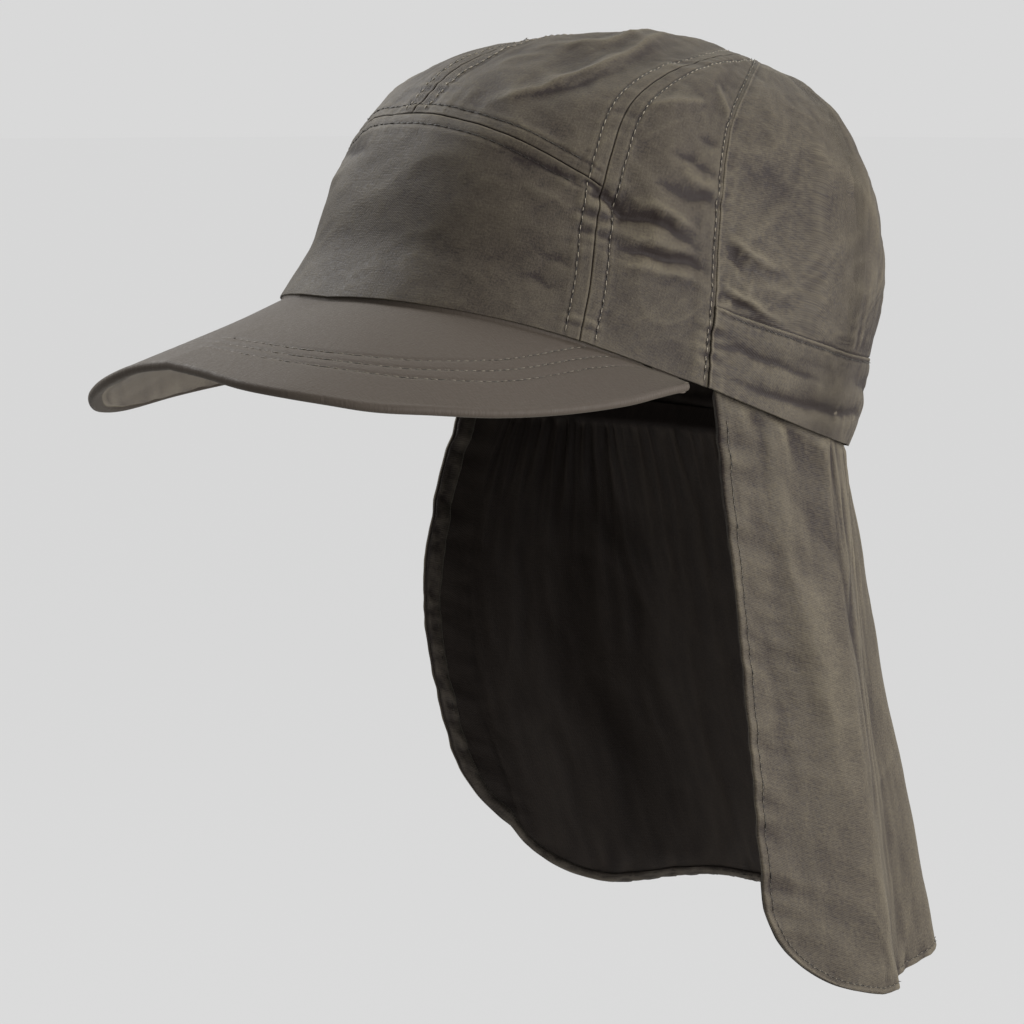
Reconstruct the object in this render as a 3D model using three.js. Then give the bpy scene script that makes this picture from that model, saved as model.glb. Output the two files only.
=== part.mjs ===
// A legionnaire cap: a soft crown sewn from panels, a curved peak, a gathered back band
// and a neck flap. Millimetres, +Z up, the peak towards -Y, the wearer's left at +X.
// The origin is the centre of the head opening, on the line where the crown meets the peak.
import * as THREE from "three";

// The crown sits on the head leaning back by this angle, so its opening is lower at the nape.
const RIM_TILT_DEG = 17;

// Half width and depths of the head opening, measured to the outside of the cloth.
const HALF_WIDTH = 77.5;
const FRONT_DEPTH = 113;
const BACK_DEPTH = 91;
const CROWN_HEIGHT = 120;
// The panels meet at a point this far behind the centre of the opening.
const APEX_SETBACK = 39;

// Walls: the panels and the flap are thin cloth, the band holds elastic, the peak a stiff board.
const CLOTH = 1.2;
const BAND_WALL = 1.6;
const PEAK_WALL = 3;
// Edges that are sewn together keep this gap between their solids.
const SEAM_GAP = 0.3;
const APEX_GAP = 1;

// Sections of the crown, evenly spaced in the table from the opening to the apex. Height is a
// share of CROWN_HEIGHT, and front, side and back are shares of the opening's reach.
const CROWN_SECTIONS = [
  { height: 0.0, front: 1.0, side: 1.0, back: 1.0 },
  { height: 0.14, front: 0.952, side: 0.994, back: 0.985 },
  { height: 0.3, front: 0.933, side: 0.977, back: 0.955 },
  { height: 0.48, front: 0.895, side: 0.937, back: 0.885 },
  { height: 0.66, front: 0.79, side: 0.835, back: 0.77 },
  { height: 0.82, front: 0.58, side: 0.66, back: 0.62 },
  { height: 0.93, front: 0.345, side: 0.445, back: 0.44 },
  { height: 0.985, front: 0.155, side: 0.23, back: 0.24 },
  { height: 1.0, front: 0.0, side: 0.0, back: 0.0 },
];
// The power of a section's outline: below 1 it is squarer than an ellipse.
const SQUARENESS = 0.86;

// The lower edge of the crown, evenly spaced by turn from the front to the nape. Rise is a
// share of EDGE_RISE, which lifts the edge at the front and dips it behind the peak.
const EDGE_RISE = 5;
const LOWER_EDGE = [
  { rise: -0.4 },
  { rise: -0.1 },
  { rise: 0.0 },
  { rise: -0.5 },
  { rise: -1.0 },
  { rise: -0.7 },
  { rise: -0.3 },
  { rise: 0.0 },
  { rise: 0.0 },
];
// The lower edge's rise fades out at this share of the way to the apex.
const EDGE_FADE = 0.3;

// Where the long seams run, as turns in degrees from the front centre, from the opening up.
const SEAMS = [
  { front: 50, side: 71 },
  { front: 48, side: 69 },
  { front: 46.5, side: 67.5 },
  { front: 45.5, side: 66 },
  { front: 45, side: 65.5 },
  { front: 48, side: 66.5 },
  { front: 55, side: 69 },
  { front: 62, side: 76 },
  { front: 66, side: 84 },
];
// The front panel's top seam, as shares of the way to the apex.
const FRONT_TOP_CENTRE = 0.395;
const FRONT_TOP_CORNER = 0.32;
// The band's top seam, as shares of the way to the apex.
const BAND_TOP_SIDE = 0.165;
const BAND_TOP_NAPE = 0.2;

// The main folds of the soft crown. Turn, share and length place a ridge, and height is a
// share of FOLD_HEIGHT. Lean is in degrees of turn for the whole length of the ridge.
const FOLD_HEIGHT = 3;
const FOLDS = [
  { turn: 18, share: 0.72, length: 0.3, lean: 30, width: 9, height: 0.8 },
  { turn: 34, share: 0.6, length: 0.24, lean: 18, width: 7, height: -0.6 },
  { turn: 58, share: 0.42, length: 0.4, lean: -6, width: 5, height: 0.6 },
  { turn: 64, share: 0.62, length: 0.3, lean: 8, width: 5, height: -0.6 },
  { turn: 96, share: 0.42, length: 0.5, lean: 10, width: 8, height: 0.5 },
  { turn: 124, share: 0.5, length: 0.6, lean: -8, width: 9, height: -0.5 },
  { turn: 150, share: 0.4, length: 0.5, lean: 6, width: 9, height: 0.7 },
  { turn: -26, share: 0.68, length: 0.3, lean: -24, width: 8, height: 0.7 },
  { turn: -60, share: 0.5, length: 0.4, lean: 6, width: 6, height: -0.6 },
  { turn: -105, share: 0.45, length: 0.5, lean: -8, width: 8, height: 0.6 },
  { turn: -145, share: 0.45, length: 0.5, lean: 10, width: 9, height: -0.6 },
];

// The elastic draws the band's lower edge in by this much at the nape, and gathers its outer
// face into soft upright ripples.
const BAND_TAPER = 7;
const BAND_GATHERS = 18;
const BAND_GATHER_HEIGHT = 0.9;

// The peak's outer edge, evenly spaced from its tip to its corner. Across is a share of
// PEAK_HALF_WIDTH, reach of the way from the corners to the tip, and left and right are the
// drops of its two halves as shares of PEAK_DROP: the right half hangs a little lower.
const PEAK_CORNER_TURN = 67;
const PEAK_HALF_WIDTH = 81.5;
const PEAK_REACH = 55;
const PEAK_DROP = 39;
const PEAK_EDGE = [
  { across: 0.0, reach: 1.0, left: 0.92, right: 0.92 },
  { across: 0.2, reach: 0.995, left: 0.96, right: 0.97 },
  { across: 0.39, reach: 0.98, left: 1.01, right: 1.08 },
  { across: 0.55, reach: 0.94, left: 1.02, right: 1.17 },
  { across: 0.675, reach: 0.88, left: 1.01, right: 1.22 },
  { across: 0.775, reach: 0.81, left: 0.99, right: 1.21 },
  { across: 0.86, reach: 0.71, left: 0.92, right: 1.12 },
  { across: 0.935, reach: 0.55, left: 0.8, right: 0.88 },
  { across: 0.98, reach: 0.385, left: 0.63, right: 0.64 },
  { across: 1.0, reach: 0.22, left: 0.42, right: 0.42 },
  { across: 0.98, reach: 0.1, left: 0.24, right: 0.24 },
  { across: 0.935, reach: 0.0, left: 0.1, right: 0.1 },
];

// The flap hangs from inside the band's lower edge, straight down, and flares to the back.
const FLAP_DROP = 172;
// The flap's left front corner hangs lower than its nape.
const FLAP_LEFT_EXTRA = 21;
const FLAP_LEFT_TURN = 73;
const FLAP_RIGHT_TURN = 85;
// How far the flap reaches up inside the band, as a share of the way to the apex, and the
// share of the sheet's rows that hang below the band.
const FLAP_TUCK = 0.06;
const FLAP_HANG = 0.89;
const FLAP_LEFT_CORNER = 22;
const FLAP_RIGHT_CORNER = 46;
const HEM_WALL = 2;
// Evenly spaced from the band to the hem: how far the flap moves back at its left edge, its
// right edge and its back, and outwards at its sides, as shares of FLAP_DROP.
const FLAP_SECTIONS = [
  { left: 0.0, right: 0.0, back: 0.0, wide: 0.0 },
  { left: 0.04, right: -0.08, back: 0.06, wide: -0.01 },
  { left: 0.08, right: -0.13, back: 0.1, wide: -0.02 },
  { left: 0.12, right: -0.13, back: 0.15, wide: -0.03 },
  { left: 0.15, right: -0.085, back: 0.21, wide: -0.03 },
  { left: 0.18, right: -0.02, back: 0.265, wide: -0.03 },
  { left: 0.205, right: 0.04, back: 0.315, wide: -0.03 },
];
// Soft folds of the flap: each hangs at a turn, a few degrees wide, and top and bottom are
// its heights at the band and at the hem as shares of FLAP_FOLD_HEIGHT.
const FLAP_FOLD_HEIGHT = 7;
const FLAP_FOLDS = [
  { turn: 92, width: 7, top: 0.3, bottom: 0.2 },
  { turn: 112, width: 9, top: -0.3, bottom: -0.5 },
  { turn: 132, width: 9, top: 0.3, bottom: 0.9 },
  { turn: 153, width: 9, top: -0.2, bottom: -0.6 },
  { turn: 176, width: 10, top: 0.3, bottom: 0.9 },
  { turn: 200, width: 10, top: -0.3, bottom: -0.7 },
  { turn: 222, width: 9, top: 0.3, bottom: 0.6 },
  { turn: 245, width: 9, top: -0.3, bottom: -0.4 },
  { turn: 262, width: 7, top: 0.2, bottom: 0.2 },
];

const CLOTH_COLOR = 0x5f594f;
const SHADED_COLOR = 0x3a342f;

const radians = THREE.MathUtils.degToRad;
const degrees = THREE.MathUtils.radToDeg;
const mix = THREE.MathUtils.lerp;
const ease = THREE.MathUtils.smoothstep;

// A smooth curve through one column of a table whose rows are evenly spaced from 0 to 1.
function column(rows, key, share) {
  const last = rows.length - 1;
  const at = THREE.MathUtils.clamp(share, 0, 1) * last;
  const row = Math.min(Math.floor(at), last - 1);
  const t = at - row;
  const [a, b] = [rows[row][key], rows[row + 1][key]];
  const before = row > 0 ? rows[row - 1][key] : 2 * a - b;
  const after = row + 2 <= last ? rows[row + 2][key] : 2 * b - a;
  const [slopeA, slopeB] = [(b - before) / 2, (after - a) / 2];
  return (
    a * (1 + 2 * t) * (1 - t) ** 2 +
    slopeA * t * (1 - t) ** 2 +
    b * (3 - 2 * t) * t ** 2 -
    slopeB * (1 - t) * t ** 2
  );
}

// A turn brought between -180 and 180 degrees.
function halfTurn(turn) {
  return THREE.MathUtils.euclideanModulo(turn + 180, 360) - 180;
}

// A smooth bump, 1 at its middle and 0 from two widths out.
function bump(distance, width) {
  return 1 - ease(Math.abs(distance), 0, 2 * width);
}

function edgeRise(turn) {
  return EDGE_RISE * column(LOWER_EDGE, "rise", Math.abs(halfTurn(turn)) / 180);
}

// How far round the back a turn is, from 0 at the side seams to 1 well behind them.
function bandShare(turn) {
  const start = SEAMS[0].side;
  return ease((Math.abs(halfTurn(turn)) - start) / (180 - start), 0, 0.6);
}
function bandTop(turn) {
  return mix(BAND_TOP_SIDE, BAND_TOP_NAPE, bandShare(turn));
}

// The crown without its folds. The turn is 0 at the front and 90 at the wearer's left.
function smoothCrown(turn, share) {
  const s = Math.sin(radians(turn));
  const c = Math.cos(radians(turn));
  const across = Math.sign(s) * Math.abs(s) ** SQUARENESS;
  const along = Math.sign(c) * Math.abs(c) ** SQUARENESS;
  const reach =
    along > 0
      ? (FRONT_DEPTH + APEX_SETBACK) * column(CROWN_SECTIONS, "front", share)
      : (BACK_DEPTH - APEX_SETBACK) * column(CROWN_SECTIONS, "back", share);
  const fade = Math.max(0, 1 - share / EDGE_FADE) ** 2;
  const taper = BAND_TAPER * bandShare(turn) * Math.max(0, 1 - share / bandTop(turn)) ** 1.5;
  return new THREE.Vector3(
    (HALF_WIDTH * column(CROWN_SECTIONS, "side", share) - taper) * across,
    APEX_SETBACK - (reach - taper) * along,
    CROWN_HEIGHT * column(CROWN_SECTIONS, "height", share) + edgeRise(turn) * fade,
  );
}

function crownNormal(turn, share) {
  const step = 0.004;
  const below = Math.max(0, share - step);
  const above = Math.min(1 - step, share + step);
  const around = smoothCrown(turn + 1, Math.min(share, 1 - step)).sub(
    smoothCrown(turn - 1, Math.min(share, 1 - step)),
  );
  const up = smoothCrown(turn, above).sub(smoothCrown(turn, below));
  return around.cross(up).normalize();
}

function foldHeight(turn, share) {
  let height = 0;
  for (const fold of FOLDS) {
    const along = (share - fold.share) / fold.length;
    if (Math.abs(along) > 1) continue;
    const off = halfTurn(turn - fold.turn - fold.lean * along);
    height += fold.height * bump(off, fold.width) * (1 - along ** 2) ** 2;
  }
  return FOLD_HEIGHT * height;
}

function crown(turn, share) {
  const normal = crownNormal(turn, share);
  return smoothCrown(turn, share).addScaledVector(normal, foldHeight(turn, share));
}

// The band's outer face with its gathers, which fade out at its ends, top and bottom.
function gatheredBand(turn, share) {
  const side = column(SEAMS, "side", share);
  const round = (turn - side) / (360 - 2 * side);
  const wave = (1 - Math.cos(2 * Math.PI * BAND_GATHERS * round)) / 2;
  const ends = ease(0.5 - Math.abs(round - 0.5), 0, 0.08);
  const middle = Math.sin(Math.PI * THREE.MathUtils.clamp(share / bandTop(turn), 0, 1));
  const height = BAND_GATHER_HEIGHT * wave * ends * middle;
  return crown(turn, share).addScaledVector(crownNormal(turn, share), height);
}

// A box of columns by rows by one, bent so that its faces lie on outer(u, v) and inner(u, v).
// u runs across and v up, and u crossed with v points outwards.
function bentWall(columns, rows, outer, inner) {
  const box = new THREE.BoxGeometry(1, 1, 1, columns, rows, 1);
  const place = box.attributes.position;
  for (let i = 0; i < place.count; i += 1) {
    const face = place.getZ(i) > 0 ? outer : inner;
    const point = face(place.getX(i) + 0.5, place.getY(i) + 0.5);
    place.setXYZ(i, point.x, point.y, point.z);
  }
  box.deleteAttribute("uv");
  box.computeVertexNormals();
  return box;
}

function piece(name, geometry, color = CLOTH_COLOR) {
  const finish = new THREE.MeshStandardMaterial({ color, roughness: 0.75, metalness: 0 });
  const mesh = new THREE.Mesh(geometry, finish);
  mesh.name = name;
  return mesh;
}

// The length of a meridian turns a gap across a level seam into a share.
const MERIDIAN = (Math.PI / 2) * ((HALF_WIDTH + CROWN_HEIGHT) / 2);
const gapShare = (gap) => gap / MERIDIAN;

// A gap measured square to a long seam, as a turn.
function gapTurn(edge, share, gap) {
  const step = 0.01;
  const low = Math.max(0, share - step);
  const high = Math.min(1, share + step);
  const turn = edge(share);
  const along = smoothCrown(edge(high), high).sub(smoothCrown(edge(low), low)).normalize();
  const around = smoothCrown(turn + 1, share).sub(smoothCrown(turn - 1, share)).multiplyScalar(0.5);
  const spacing = around.cross(along).length();
  return gap / Math.max(spacing, radians(APEX_GAP));
}

// A panel between four seams. Its sides are turns that change with the share, and its lower
// and upper edges are shares that change with the turn.
function panel(columns, rows, { from, to, bottom, top, face = crown, wall = CLOTH }) {
  const half = SEAM_GAP / 2;
  function place(u, v) {
    let share = v;
    let turn = 0;
    for (let pass = 0; pass < 6; pass += 1) {
      const start = from(share) + gapTurn(from, share, half);
      const end = to(share) - gapTurn(to, share, half);
      turn = mix(start, end, u);
      share = mix(bottom(turn), top(turn), v);
    }
    return [turn, share];
  }
  const outer = (u, v) => face(...place(u, v));
  const inner = (u, v) => {
    const [turn, share] = place(u, v);
    return crown(turn, share).addScaledVector(crownNormal(turn, share), -wall);
  };
  return bentWall(columns, rows, outer, inner);
}

const seam = (key, side) => (share) => side * column(SEAMS, key, share);
const nape = (side) => () => 180 * side;
const centre = () => 0;
const rim = () => 0;
const apex = () => 1 - gapShare(APEX_GAP);

function frontTop(turn) {
  const corner = column(SEAMS, "front", FRONT_TOP_CORNER);
  const out = Math.abs(turn) / corner;
  return mix(FRONT_TOP_CENTRE, FRONT_TOP_CORNER, out ** 2);
}
// A panel's edge just under or just over a cross seam.
const halfGap = gapShare(SEAM_GAP / 2);
const under = (edge) => (turn) => edge(turn) - halfGap;
const over = (edge) => (turn) => edge(turn) + halfGap;

const worn = new THREE.Group();
worn.rotation.x = -radians(RIM_TILT_DEG);

worn.add(
  piece(
    "front_panel",
    panel(22, 9, {
      from: seam("front", -1),
      to: seam("front", 1),
      bottom: rim,
      top: under(frontTop),
    }),
  ),
);
for (const [side, word] of [
  [1, "left"],
  [-1, "right"],
]) {
  // The wearer's right mirrors the left, so its two side seams change places.
  const between = (inner, outer) => (side > 0 ? { from: inner, to: outer } : { from: outer, to: inner });
  worn.add(
    piece(
      "top_panel_" + word,
      panel(11, 10, {
        ...between(centre, seam("front", side)),
        bottom: over(frontTop),
        top: apex,
      }),
    ),
    piece(
      "side_panel_" + word,
      panel(8, 17, {
        ...between(seam("front", side), seam("side", side)),
        bottom: rim,
        top: apex,
      }),
    ),
    piece(
      "back_panel_" + word,
      panel(12, 14, {
        ...between(seam("side", side), nape(side)),
        bottom: over(bandTop),
        top: apex,
      }),
    ),
  );
}

worn.add(
  piece(
    "back_band",
    panel(4 * BAND_GATHERS, 4, {
      from: seam("side", 1),
      to: (share) => 360 - column(SEAMS, "side", share),
      bottom: rim,
      top: under(bandTop),
      face: gatheredBand,
      wall: BAND_WALL,
    }),
  ),
);

// The peak's top face runs from the crown's lower edge out to the edge of the board.
function peakTop(u, v) {
  const side = 2 * u - 1;
  const turn = PEAK_CORNER_TURN * side;
  const root = smoothCrown(turn, 0).addScaledVector(crownNormal(turn, 0), -CLOTH);
  root.z -= SEAM_GAP;
  const out = Math.abs(side);
  const edge = new THREE.Vector3(
    PEAK_HALF_WIDTH * column(PEAK_EDGE, "across", out) * Math.sign(side),
    smoothCrown(PEAK_CORNER_TURN, 0).y -
      (FRONT_DEPTH + smoothCrown(PEAK_CORNER_TURN, 0).y + PEAK_REACH) *
        column(PEAK_EDGE, "reach", out),
    -PEAK_DROP * column(PEAK_EDGE, side > 0 ? "left" : "right", out),
  );
  return edge.lerp(root, v);
}
function peakUnder(u, v) {
  const step = 0.02;
  const here = [THREE.MathUtils.clamp(u, step, 1 - step), THREE.MathUtils.clamp(v, step, 1 - step)];
  const across = peakTop(here[0] + step, here[1]).sub(peakTop(here[0] - step, here[1]));
  const inwards = peakTop(here[0], here[1] + step).sub(peakTop(here[0], here[1] - step));
  const down = across.cross(inwards).normalize().multiplyScalar(-PEAK_WALL);
  return peakTop(u, v).add(down);
}
worn.add(piece("peak", bentWall(36, 8, peakTop, peakUnder)));

// The flap lies inside the band, at a depth below its own outer face, and then hangs straight
// down from the band's lower edge.
function flapRoot(turn, share, depth) {
  const inwards = crownNormal(turn, share).multiplyScalar(-BAND_WALL - SEAM_GAP - depth);
  return crown(turn, share).add(inwards).applyEuler(worn.rotation);
}
function flapFold(turn, drop) {
  let height = 0;
  for (const fold of FLAP_FOLDS) {
    height += mix(fold.top, fold.bottom, drop) * bump(turn - fold.turn, fold.width);
  }
  return FLAP_FOLD_HEIGHT * height * ease(drop, 0, 0.25);
}
function flapLength(turn) {
  const left = 1 - ease((turn - FLAP_LEFT_TURN) / (180 - FLAP_LEFT_TURN), 0, 1);
  return FLAP_DROP + FLAP_LEFT_EXTRA * left;
}
function flapOut(turn) {
  return flapRoot(turn, 0, 0).sub(flapRoot(turn, 0, 1)).setZ(0).normalize();
}
// A point of the flap's outer face. Drop is 0 at the band's edge and 1 at the hem, and tuck
// is how far up inside the band the point is.
function flap(turn, drop, tuck) {
  const root = flapRoot(turn, FLAP_TUCK * tuck, 0);
  const sides = turn < 180 ? "left" : "right";
  const edge = turn < 180 ? FLAP_LEFT_TURN : FLAP_RIGHT_TURN;
  const back = ease((Math.abs(halfTurn(turn)) - edge) / (180 - edge), 0, 0.8);
  const shift = mix(column(FLAP_SECTIONS, sides, drop), column(FLAP_SECTIONS, "back", drop), back);
  return new THREE.Vector3(
    root.x + Math.sign(root.x) * FLAP_DROP * column(FLAP_SECTIONS, "wide", drop) * (1 - back),
    root.y + FLAP_DROP * shift,
    root.z - flapLength(turn) * drop,
  ).addScaledVector(flapOut(turn), flapFold(turn, drop));
}
// Round corners: how far the front edge has moved back at a height above the hem.
function cornerCut(radius, height) {
  return height < radius ? radius - Math.sqrt(radius ** 2 - (radius - height) ** 2) : 0;
}
function flapPlace(u, v) {
  const drop = 1 - Math.min(1, v / FLAP_HANG) ** 1.4;
  const tuck = Math.max(0, (v - FLAP_HANG) / (1 - FLAP_HANG));
  const height = FLAP_DROP * (1 - drop);
  const left = FLAP_LEFT_TURN + degrees(cornerCut(FLAP_LEFT_CORNER, height) / HALF_WIDTH);
  const right = 360 - FLAP_RIGHT_TURN - degrees(cornerCut(FLAP_RIGHT_CORNER, height) / HALF_WIDTH);
  return [mix(left, right, u), drop, tuck];
}
const flapOuter = (u, v) => flap(...flapPlace(u, v));
function flapInner(u, v) {
  const [turn, drop, tuck] = flapPlace(u, v);
  const wall = mix(CLOTH, HEM_WALL, ease(drop, 0.97, 1));
  const hanging = flap(turn, drop, 0).addScaledVector(flapOut(turn), -wall);
  return tuck > 0 ? flapRoot(turn, FLAP_TUCK * tuck, wall) : hanging;
}

const group = new THREE.Group();
group.add(worn);
group.add(piece("neck_flap", bentWall(44, 18, flapOuter, flapInner), SHADED_COLOR));

export default group;
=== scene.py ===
import itertools
import math

import bmesh
import bpy
import numpy as np
from mathutils import Matrix, Vector


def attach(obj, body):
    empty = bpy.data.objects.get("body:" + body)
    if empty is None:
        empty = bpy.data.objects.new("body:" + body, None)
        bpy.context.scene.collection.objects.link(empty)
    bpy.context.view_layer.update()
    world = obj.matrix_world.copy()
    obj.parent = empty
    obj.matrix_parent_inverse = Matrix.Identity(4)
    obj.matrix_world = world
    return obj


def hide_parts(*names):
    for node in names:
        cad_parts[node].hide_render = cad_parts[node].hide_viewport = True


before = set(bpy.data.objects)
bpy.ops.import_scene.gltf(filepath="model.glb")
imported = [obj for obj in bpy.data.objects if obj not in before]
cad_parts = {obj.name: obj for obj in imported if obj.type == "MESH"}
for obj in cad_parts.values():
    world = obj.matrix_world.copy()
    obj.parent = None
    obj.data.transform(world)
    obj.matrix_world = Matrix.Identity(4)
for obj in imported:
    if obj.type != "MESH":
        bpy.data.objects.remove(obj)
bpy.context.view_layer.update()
scene = bpy.context.scene

# The crown. Seven panels of thin twill, cut flat and sewn together with pressed seams, make
# one soft dome that leans back. Sizes are in metres. A turn is in degrees from the front
# towards the cap's left, and a share runs from the opening, 0, to the apex, 1.
RIM_TILT = math.radians(17)
HALF_WIDTH = 0.0775
FRONT_DEPTH = 0.113
BACK_DEPTH = 0.091
CROWN_HEIGHT = 0.120
APEX_SETBACK = 0.039
SQUARENESS = 0.86
MERIDIAN = 0.155
CROWN_SECTIONS = [
    {"height": 0.0, "front": 1.0, "side": 1.0, "back": 1.0},
    {"height": 0.14, "front": 0.952, "side": 0.994, "back": 0.985},
    {"height": 0.3, "front": 0.933, "side": 0.977, "back": 0.955},
    {"height": 0.48, "front": 0.895, "side": 0.937, "back": 0.885},
    {"height": 0.66, "front": 0.79, "side": 0.835, "back": 0.77},
    {"height": 0.82, "front": 0.58, "side": 0.66, "back": 0.62},
    {"height": 0.93, "front": 0.345, "side": 0.445, "back": 0.44},
    {"height": 0.985, "front": 0.155, "side": 0.23, "back": 0.24},
    {"height": 1.0, "front": 0.0, "side": 0.0, "back": 0.0},
]
EDGE_RISE = 0.005
EDGE_FADE = 0.3
LOWER_EDGE = [{"rise": rise} for rise in (-0.4, -0.1, 0, -0.5, -1, -0.7, -0.3, 0, 0)]
SEAMS = [
    {"front": 50, "side": 71},
    {"front": 48, "side": 69},
    {"front": 46.5, "side": 67.5},
    {"front": 45.5, "side": 66},
    {"front": 45, "side": 65.5},
    {"front": 48, "side": 66.5},
    {"front": 55, "side": 69},
    {"front": 62, "side": 76},
    {"front": 66, "side": 84},
]
FRONT_TOP_CENTRE = 0.395
FRONT_TOP_CORNER = 0.32
BAND_TOP_SIDE = 0.165
BAND_TOP_NAPE = 0.2
BAND_TAPER = 0.007
FOLD_HEIGHT = 0.003
FOLDS = [
    {"turn": 18, "share": 0.72, "length": 0.3, "lean": 30, "width": 9, "height": 0.8},
    {"turn": 34, "share": 0.6, "length": 0.24, "lean": 18, "width": 7, "height": -0.6},
    {"turn": 58, "share": 0.42, "length": 0.4, "lean": -6, "width": 5, "height": 0.6},
    {"turn": 64, "share": 0.62, "length": 0.3, "lean": 8, "width": 5, "height": -0.6},
    {"turn": 96, "share": 0.42, "length": 0.5, "lean": 10, "width": 8, "height": 0.5},
    {"turn": 124, "share": 0.5, "length": 0.6, "lean": -8, "width": 9, "height": -0.5},
    {"turn": 150, "share": 0.4, "length": 0.5, "lean": 6, "width": 9, "height": 0.7},
    {"turn": -26, "share": 0.68, "length": 0.3, "lean": -24, "width": 8, "height": 0.7},
    {"turn": -60, "share": 0.5, "length": 0.4, "lean": 6, "width": 6, "height": -0.6},
    {"turn": -105, "share": 0.45, "length": 0.5, "lean": -8, "width": 8, "height": 0.6},
    {"turn": -145, "share": 0.45, "length": 0.5, "lean": 10, "width": 9, "height": -0.6},
]


def column(rows, key, share):
    """A smooth curve through one column of a table whose rows are evenly spaced from 0 to 1."""
    values = [row[key] for row in rows]
    ends = [2 * values[0] - values[1], 2 * values[-1] - values[-2]]
    values = np.array([ends[0], *values, ends[1]], float)
    last = len(rows) - 1
    at = np.clip(share, 0, 1) * last
    row = np.minimum(np.floor(at).astype(int), last - 1)
    t = at - row
    before, a, b, after = (values[row + step] for step in range(4))
    slope_a = (b - before) / 2
    slope_b = (after - a) / 2
    return (
        a * (1 + 2 * t) * (1 - t) ** 2
        + slope_a * t * (1 - t) ** 2
        + b * (3 - 2 * t) * t**2
        - slope_b * (1 - t) * t**2
    )


def ease(value, low, high):
    """0 below low, 1 above high and a smooth step between."""
    t = np.clip((value - low) / (high - low), 0, 1)
    return t * t * (3 - 2 * t)


def mix(a, b, share):
    return a + (b - a) * share


def half_turn(turn):
    return np.mod(turn + 180, 360) - 180


def tilted(x, y, z):
    """Points of the crown as worn, leaning back."""
    back = y * math.cos(RIM_TILT) + z * math.sin(RIM_TILT)
    up = z * math.cos(RIM_TILT) - y * math.sin(RIM_TILT)
    return np.stack([x + 0 * up, back, up], axis=-1)


def band_share(turn):
    start = SEAMS[0]["side"]
    return ease((np.abs(half_turn(turn)) - start) / (180 - start), 0, 0.6)


def band_top(turn):
    return mix(BAND_TOP_SIDE, BAND_TOP_NAPE, band_share(turn))


def front_top(turn):
    corner = float(column(SEAMS, "front", np.array(FRONT_TOP_CORNER)))
    return mix(FRONT_TOP_CENTRE, FRONT_TOP_CORNER, (turn / corner) ** 2)


def smooth_crown(turn, share):
    s = np.sin(np.radians(turn))
    c = np.cos(np.radians(turn))
    across = np.sign(s) * np.abs(s) ** SQUARENESS
    along = np.sign(c) * np.abs(c) ** SQUARENESS
    front = (FRONT_DEPTH + APEX_SETBACK) * column(CROWN_SECTIONS, "front", share)
    back = (BACK_DEPTH - APEX_SETBACK) * column(CROWN_SECTIONS, "back", share)
    reach = np.where(along > 0, front, back)
    below = np.maximum(0, 1 - share / band_top(turn)) ** 1.5
    taper = BAND_TAPER * band_share(turn) * below
    rise = EDGE_RISE * column(LOWER_EDGE, "rise", np.abs(half_turn(turn)) / 180)
    fade = np.maximum(0, 1 - share / EDGE_FADE) ** 2
    return tilted(
        (HALF_WIDTH * column(CROWN_SECTIONS, "side", share) - taper) * across,
        APEX_SETBACK - (reach - taper) * along,
        CROWN_HEIGHT * column(CROWN_SECTIONS, "height", share) + rise * fade,
    )


def slopes(turn, share):
    """How far the crown's surface runs for a degree of turn, and for a whole share."""
    step = 0.004
    inside = np.minimum(share, 1 - step)
    around = (smooth_crown(turn + 1, inside) - smooth_crown(turn - 1, inside)) / 2
    low = np.maximum(0, share - step)
    high = np.minimum(1 - step, share + step)
    rise = smooth_crown(turn, high) - smooth_crown(turn, low)
    return around, rise / (high - low)[..., None]


def length(vectors):
    return np.linalg.norm(vectors, axis=-1)


def unit(vectors):
    return vectors / length(vectors)[..., None]


def parts(points, size=1.0):
    """The three coordinates of points, counted in steps of a size."""
    return [points[..., axis] / size for axis in range(3)]


def crown_normal(turn, share):
    around, rise = slopes(turn, share)
    return unit(np.cross(around, rise))


def slant_share(key, share, width, depth):
    """How much shorter a way square to a long seam is than one along a level line."""
    step = 0.01
    lean = (column(SEAMS, key, share + step) - column(SEAMS, key, share - step)) / (2 * step)
    return 1 / np.sqrt(1 + (lean * width / depth) ** 2)


def fold_height(turn, share):
    """The large folds that the crown's solid panels have too."""
    height = 0
    for fold in FOLDS:
        along = (share - fold["share"]) / fold["length"]
        off = np.abs(half_turn(turn - fold["turn"] - fold["lean"] * along))
        bump = 1 - ease(off, 0, 2 * fold["width"])
        height = height + fold["height"] * bump * np.maximum(0, 1 - along**2) ** 2
    return FOLD_HEIGHT * height


# Each seam is a sharp valley with low welts, a groove under its stitches and small puckers.
# A number added inside noise() only picks another stretch of it.
SEAM_VALLEY = 0.0004
SEAM_VALLEY_WIDTH = 0.00022
WELT = 0.00022
WELT_WIDTH = 0.0064
STITCH_GROOVE = 0.00024
STITCH_GROOVE_WIDTH = 0.0007
PUCKER = 0.0008
PUCKER_LENGTH = 0.0026
PUCKER_REACH = 0.0052
PUCKER_PATCH = 0.021
SEAM_PUCKERS = {"front": 1.5, "side": 0.9, "top": 0.55, "centre": 1.9, "nape": 1.0, "band": 0.5}
SEAM_BLEND = (-0.0005, 0.002)
RIM_CALM = 0.03
OPEN_SEAM_ROW = 0.005
TOP_SEAM_ROW = 0.004
LAP_SEAM_ROW = 0.0013
BAND_ROW = 0.0017
SIDE_VALLEY = 0.1
SIDE_FOLD = 0.00032
SIDE_FOLD_WIDTH = 0.0006
WAIST = 0.0044
WAIST_REACH = 0.0125
GATHER = 0.0015
GATHER_TURN = 2.7
GATHER_REACH = 0.05
GATHER_START = 0.004
PLEATS_BEHIND = (84, 130)
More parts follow.
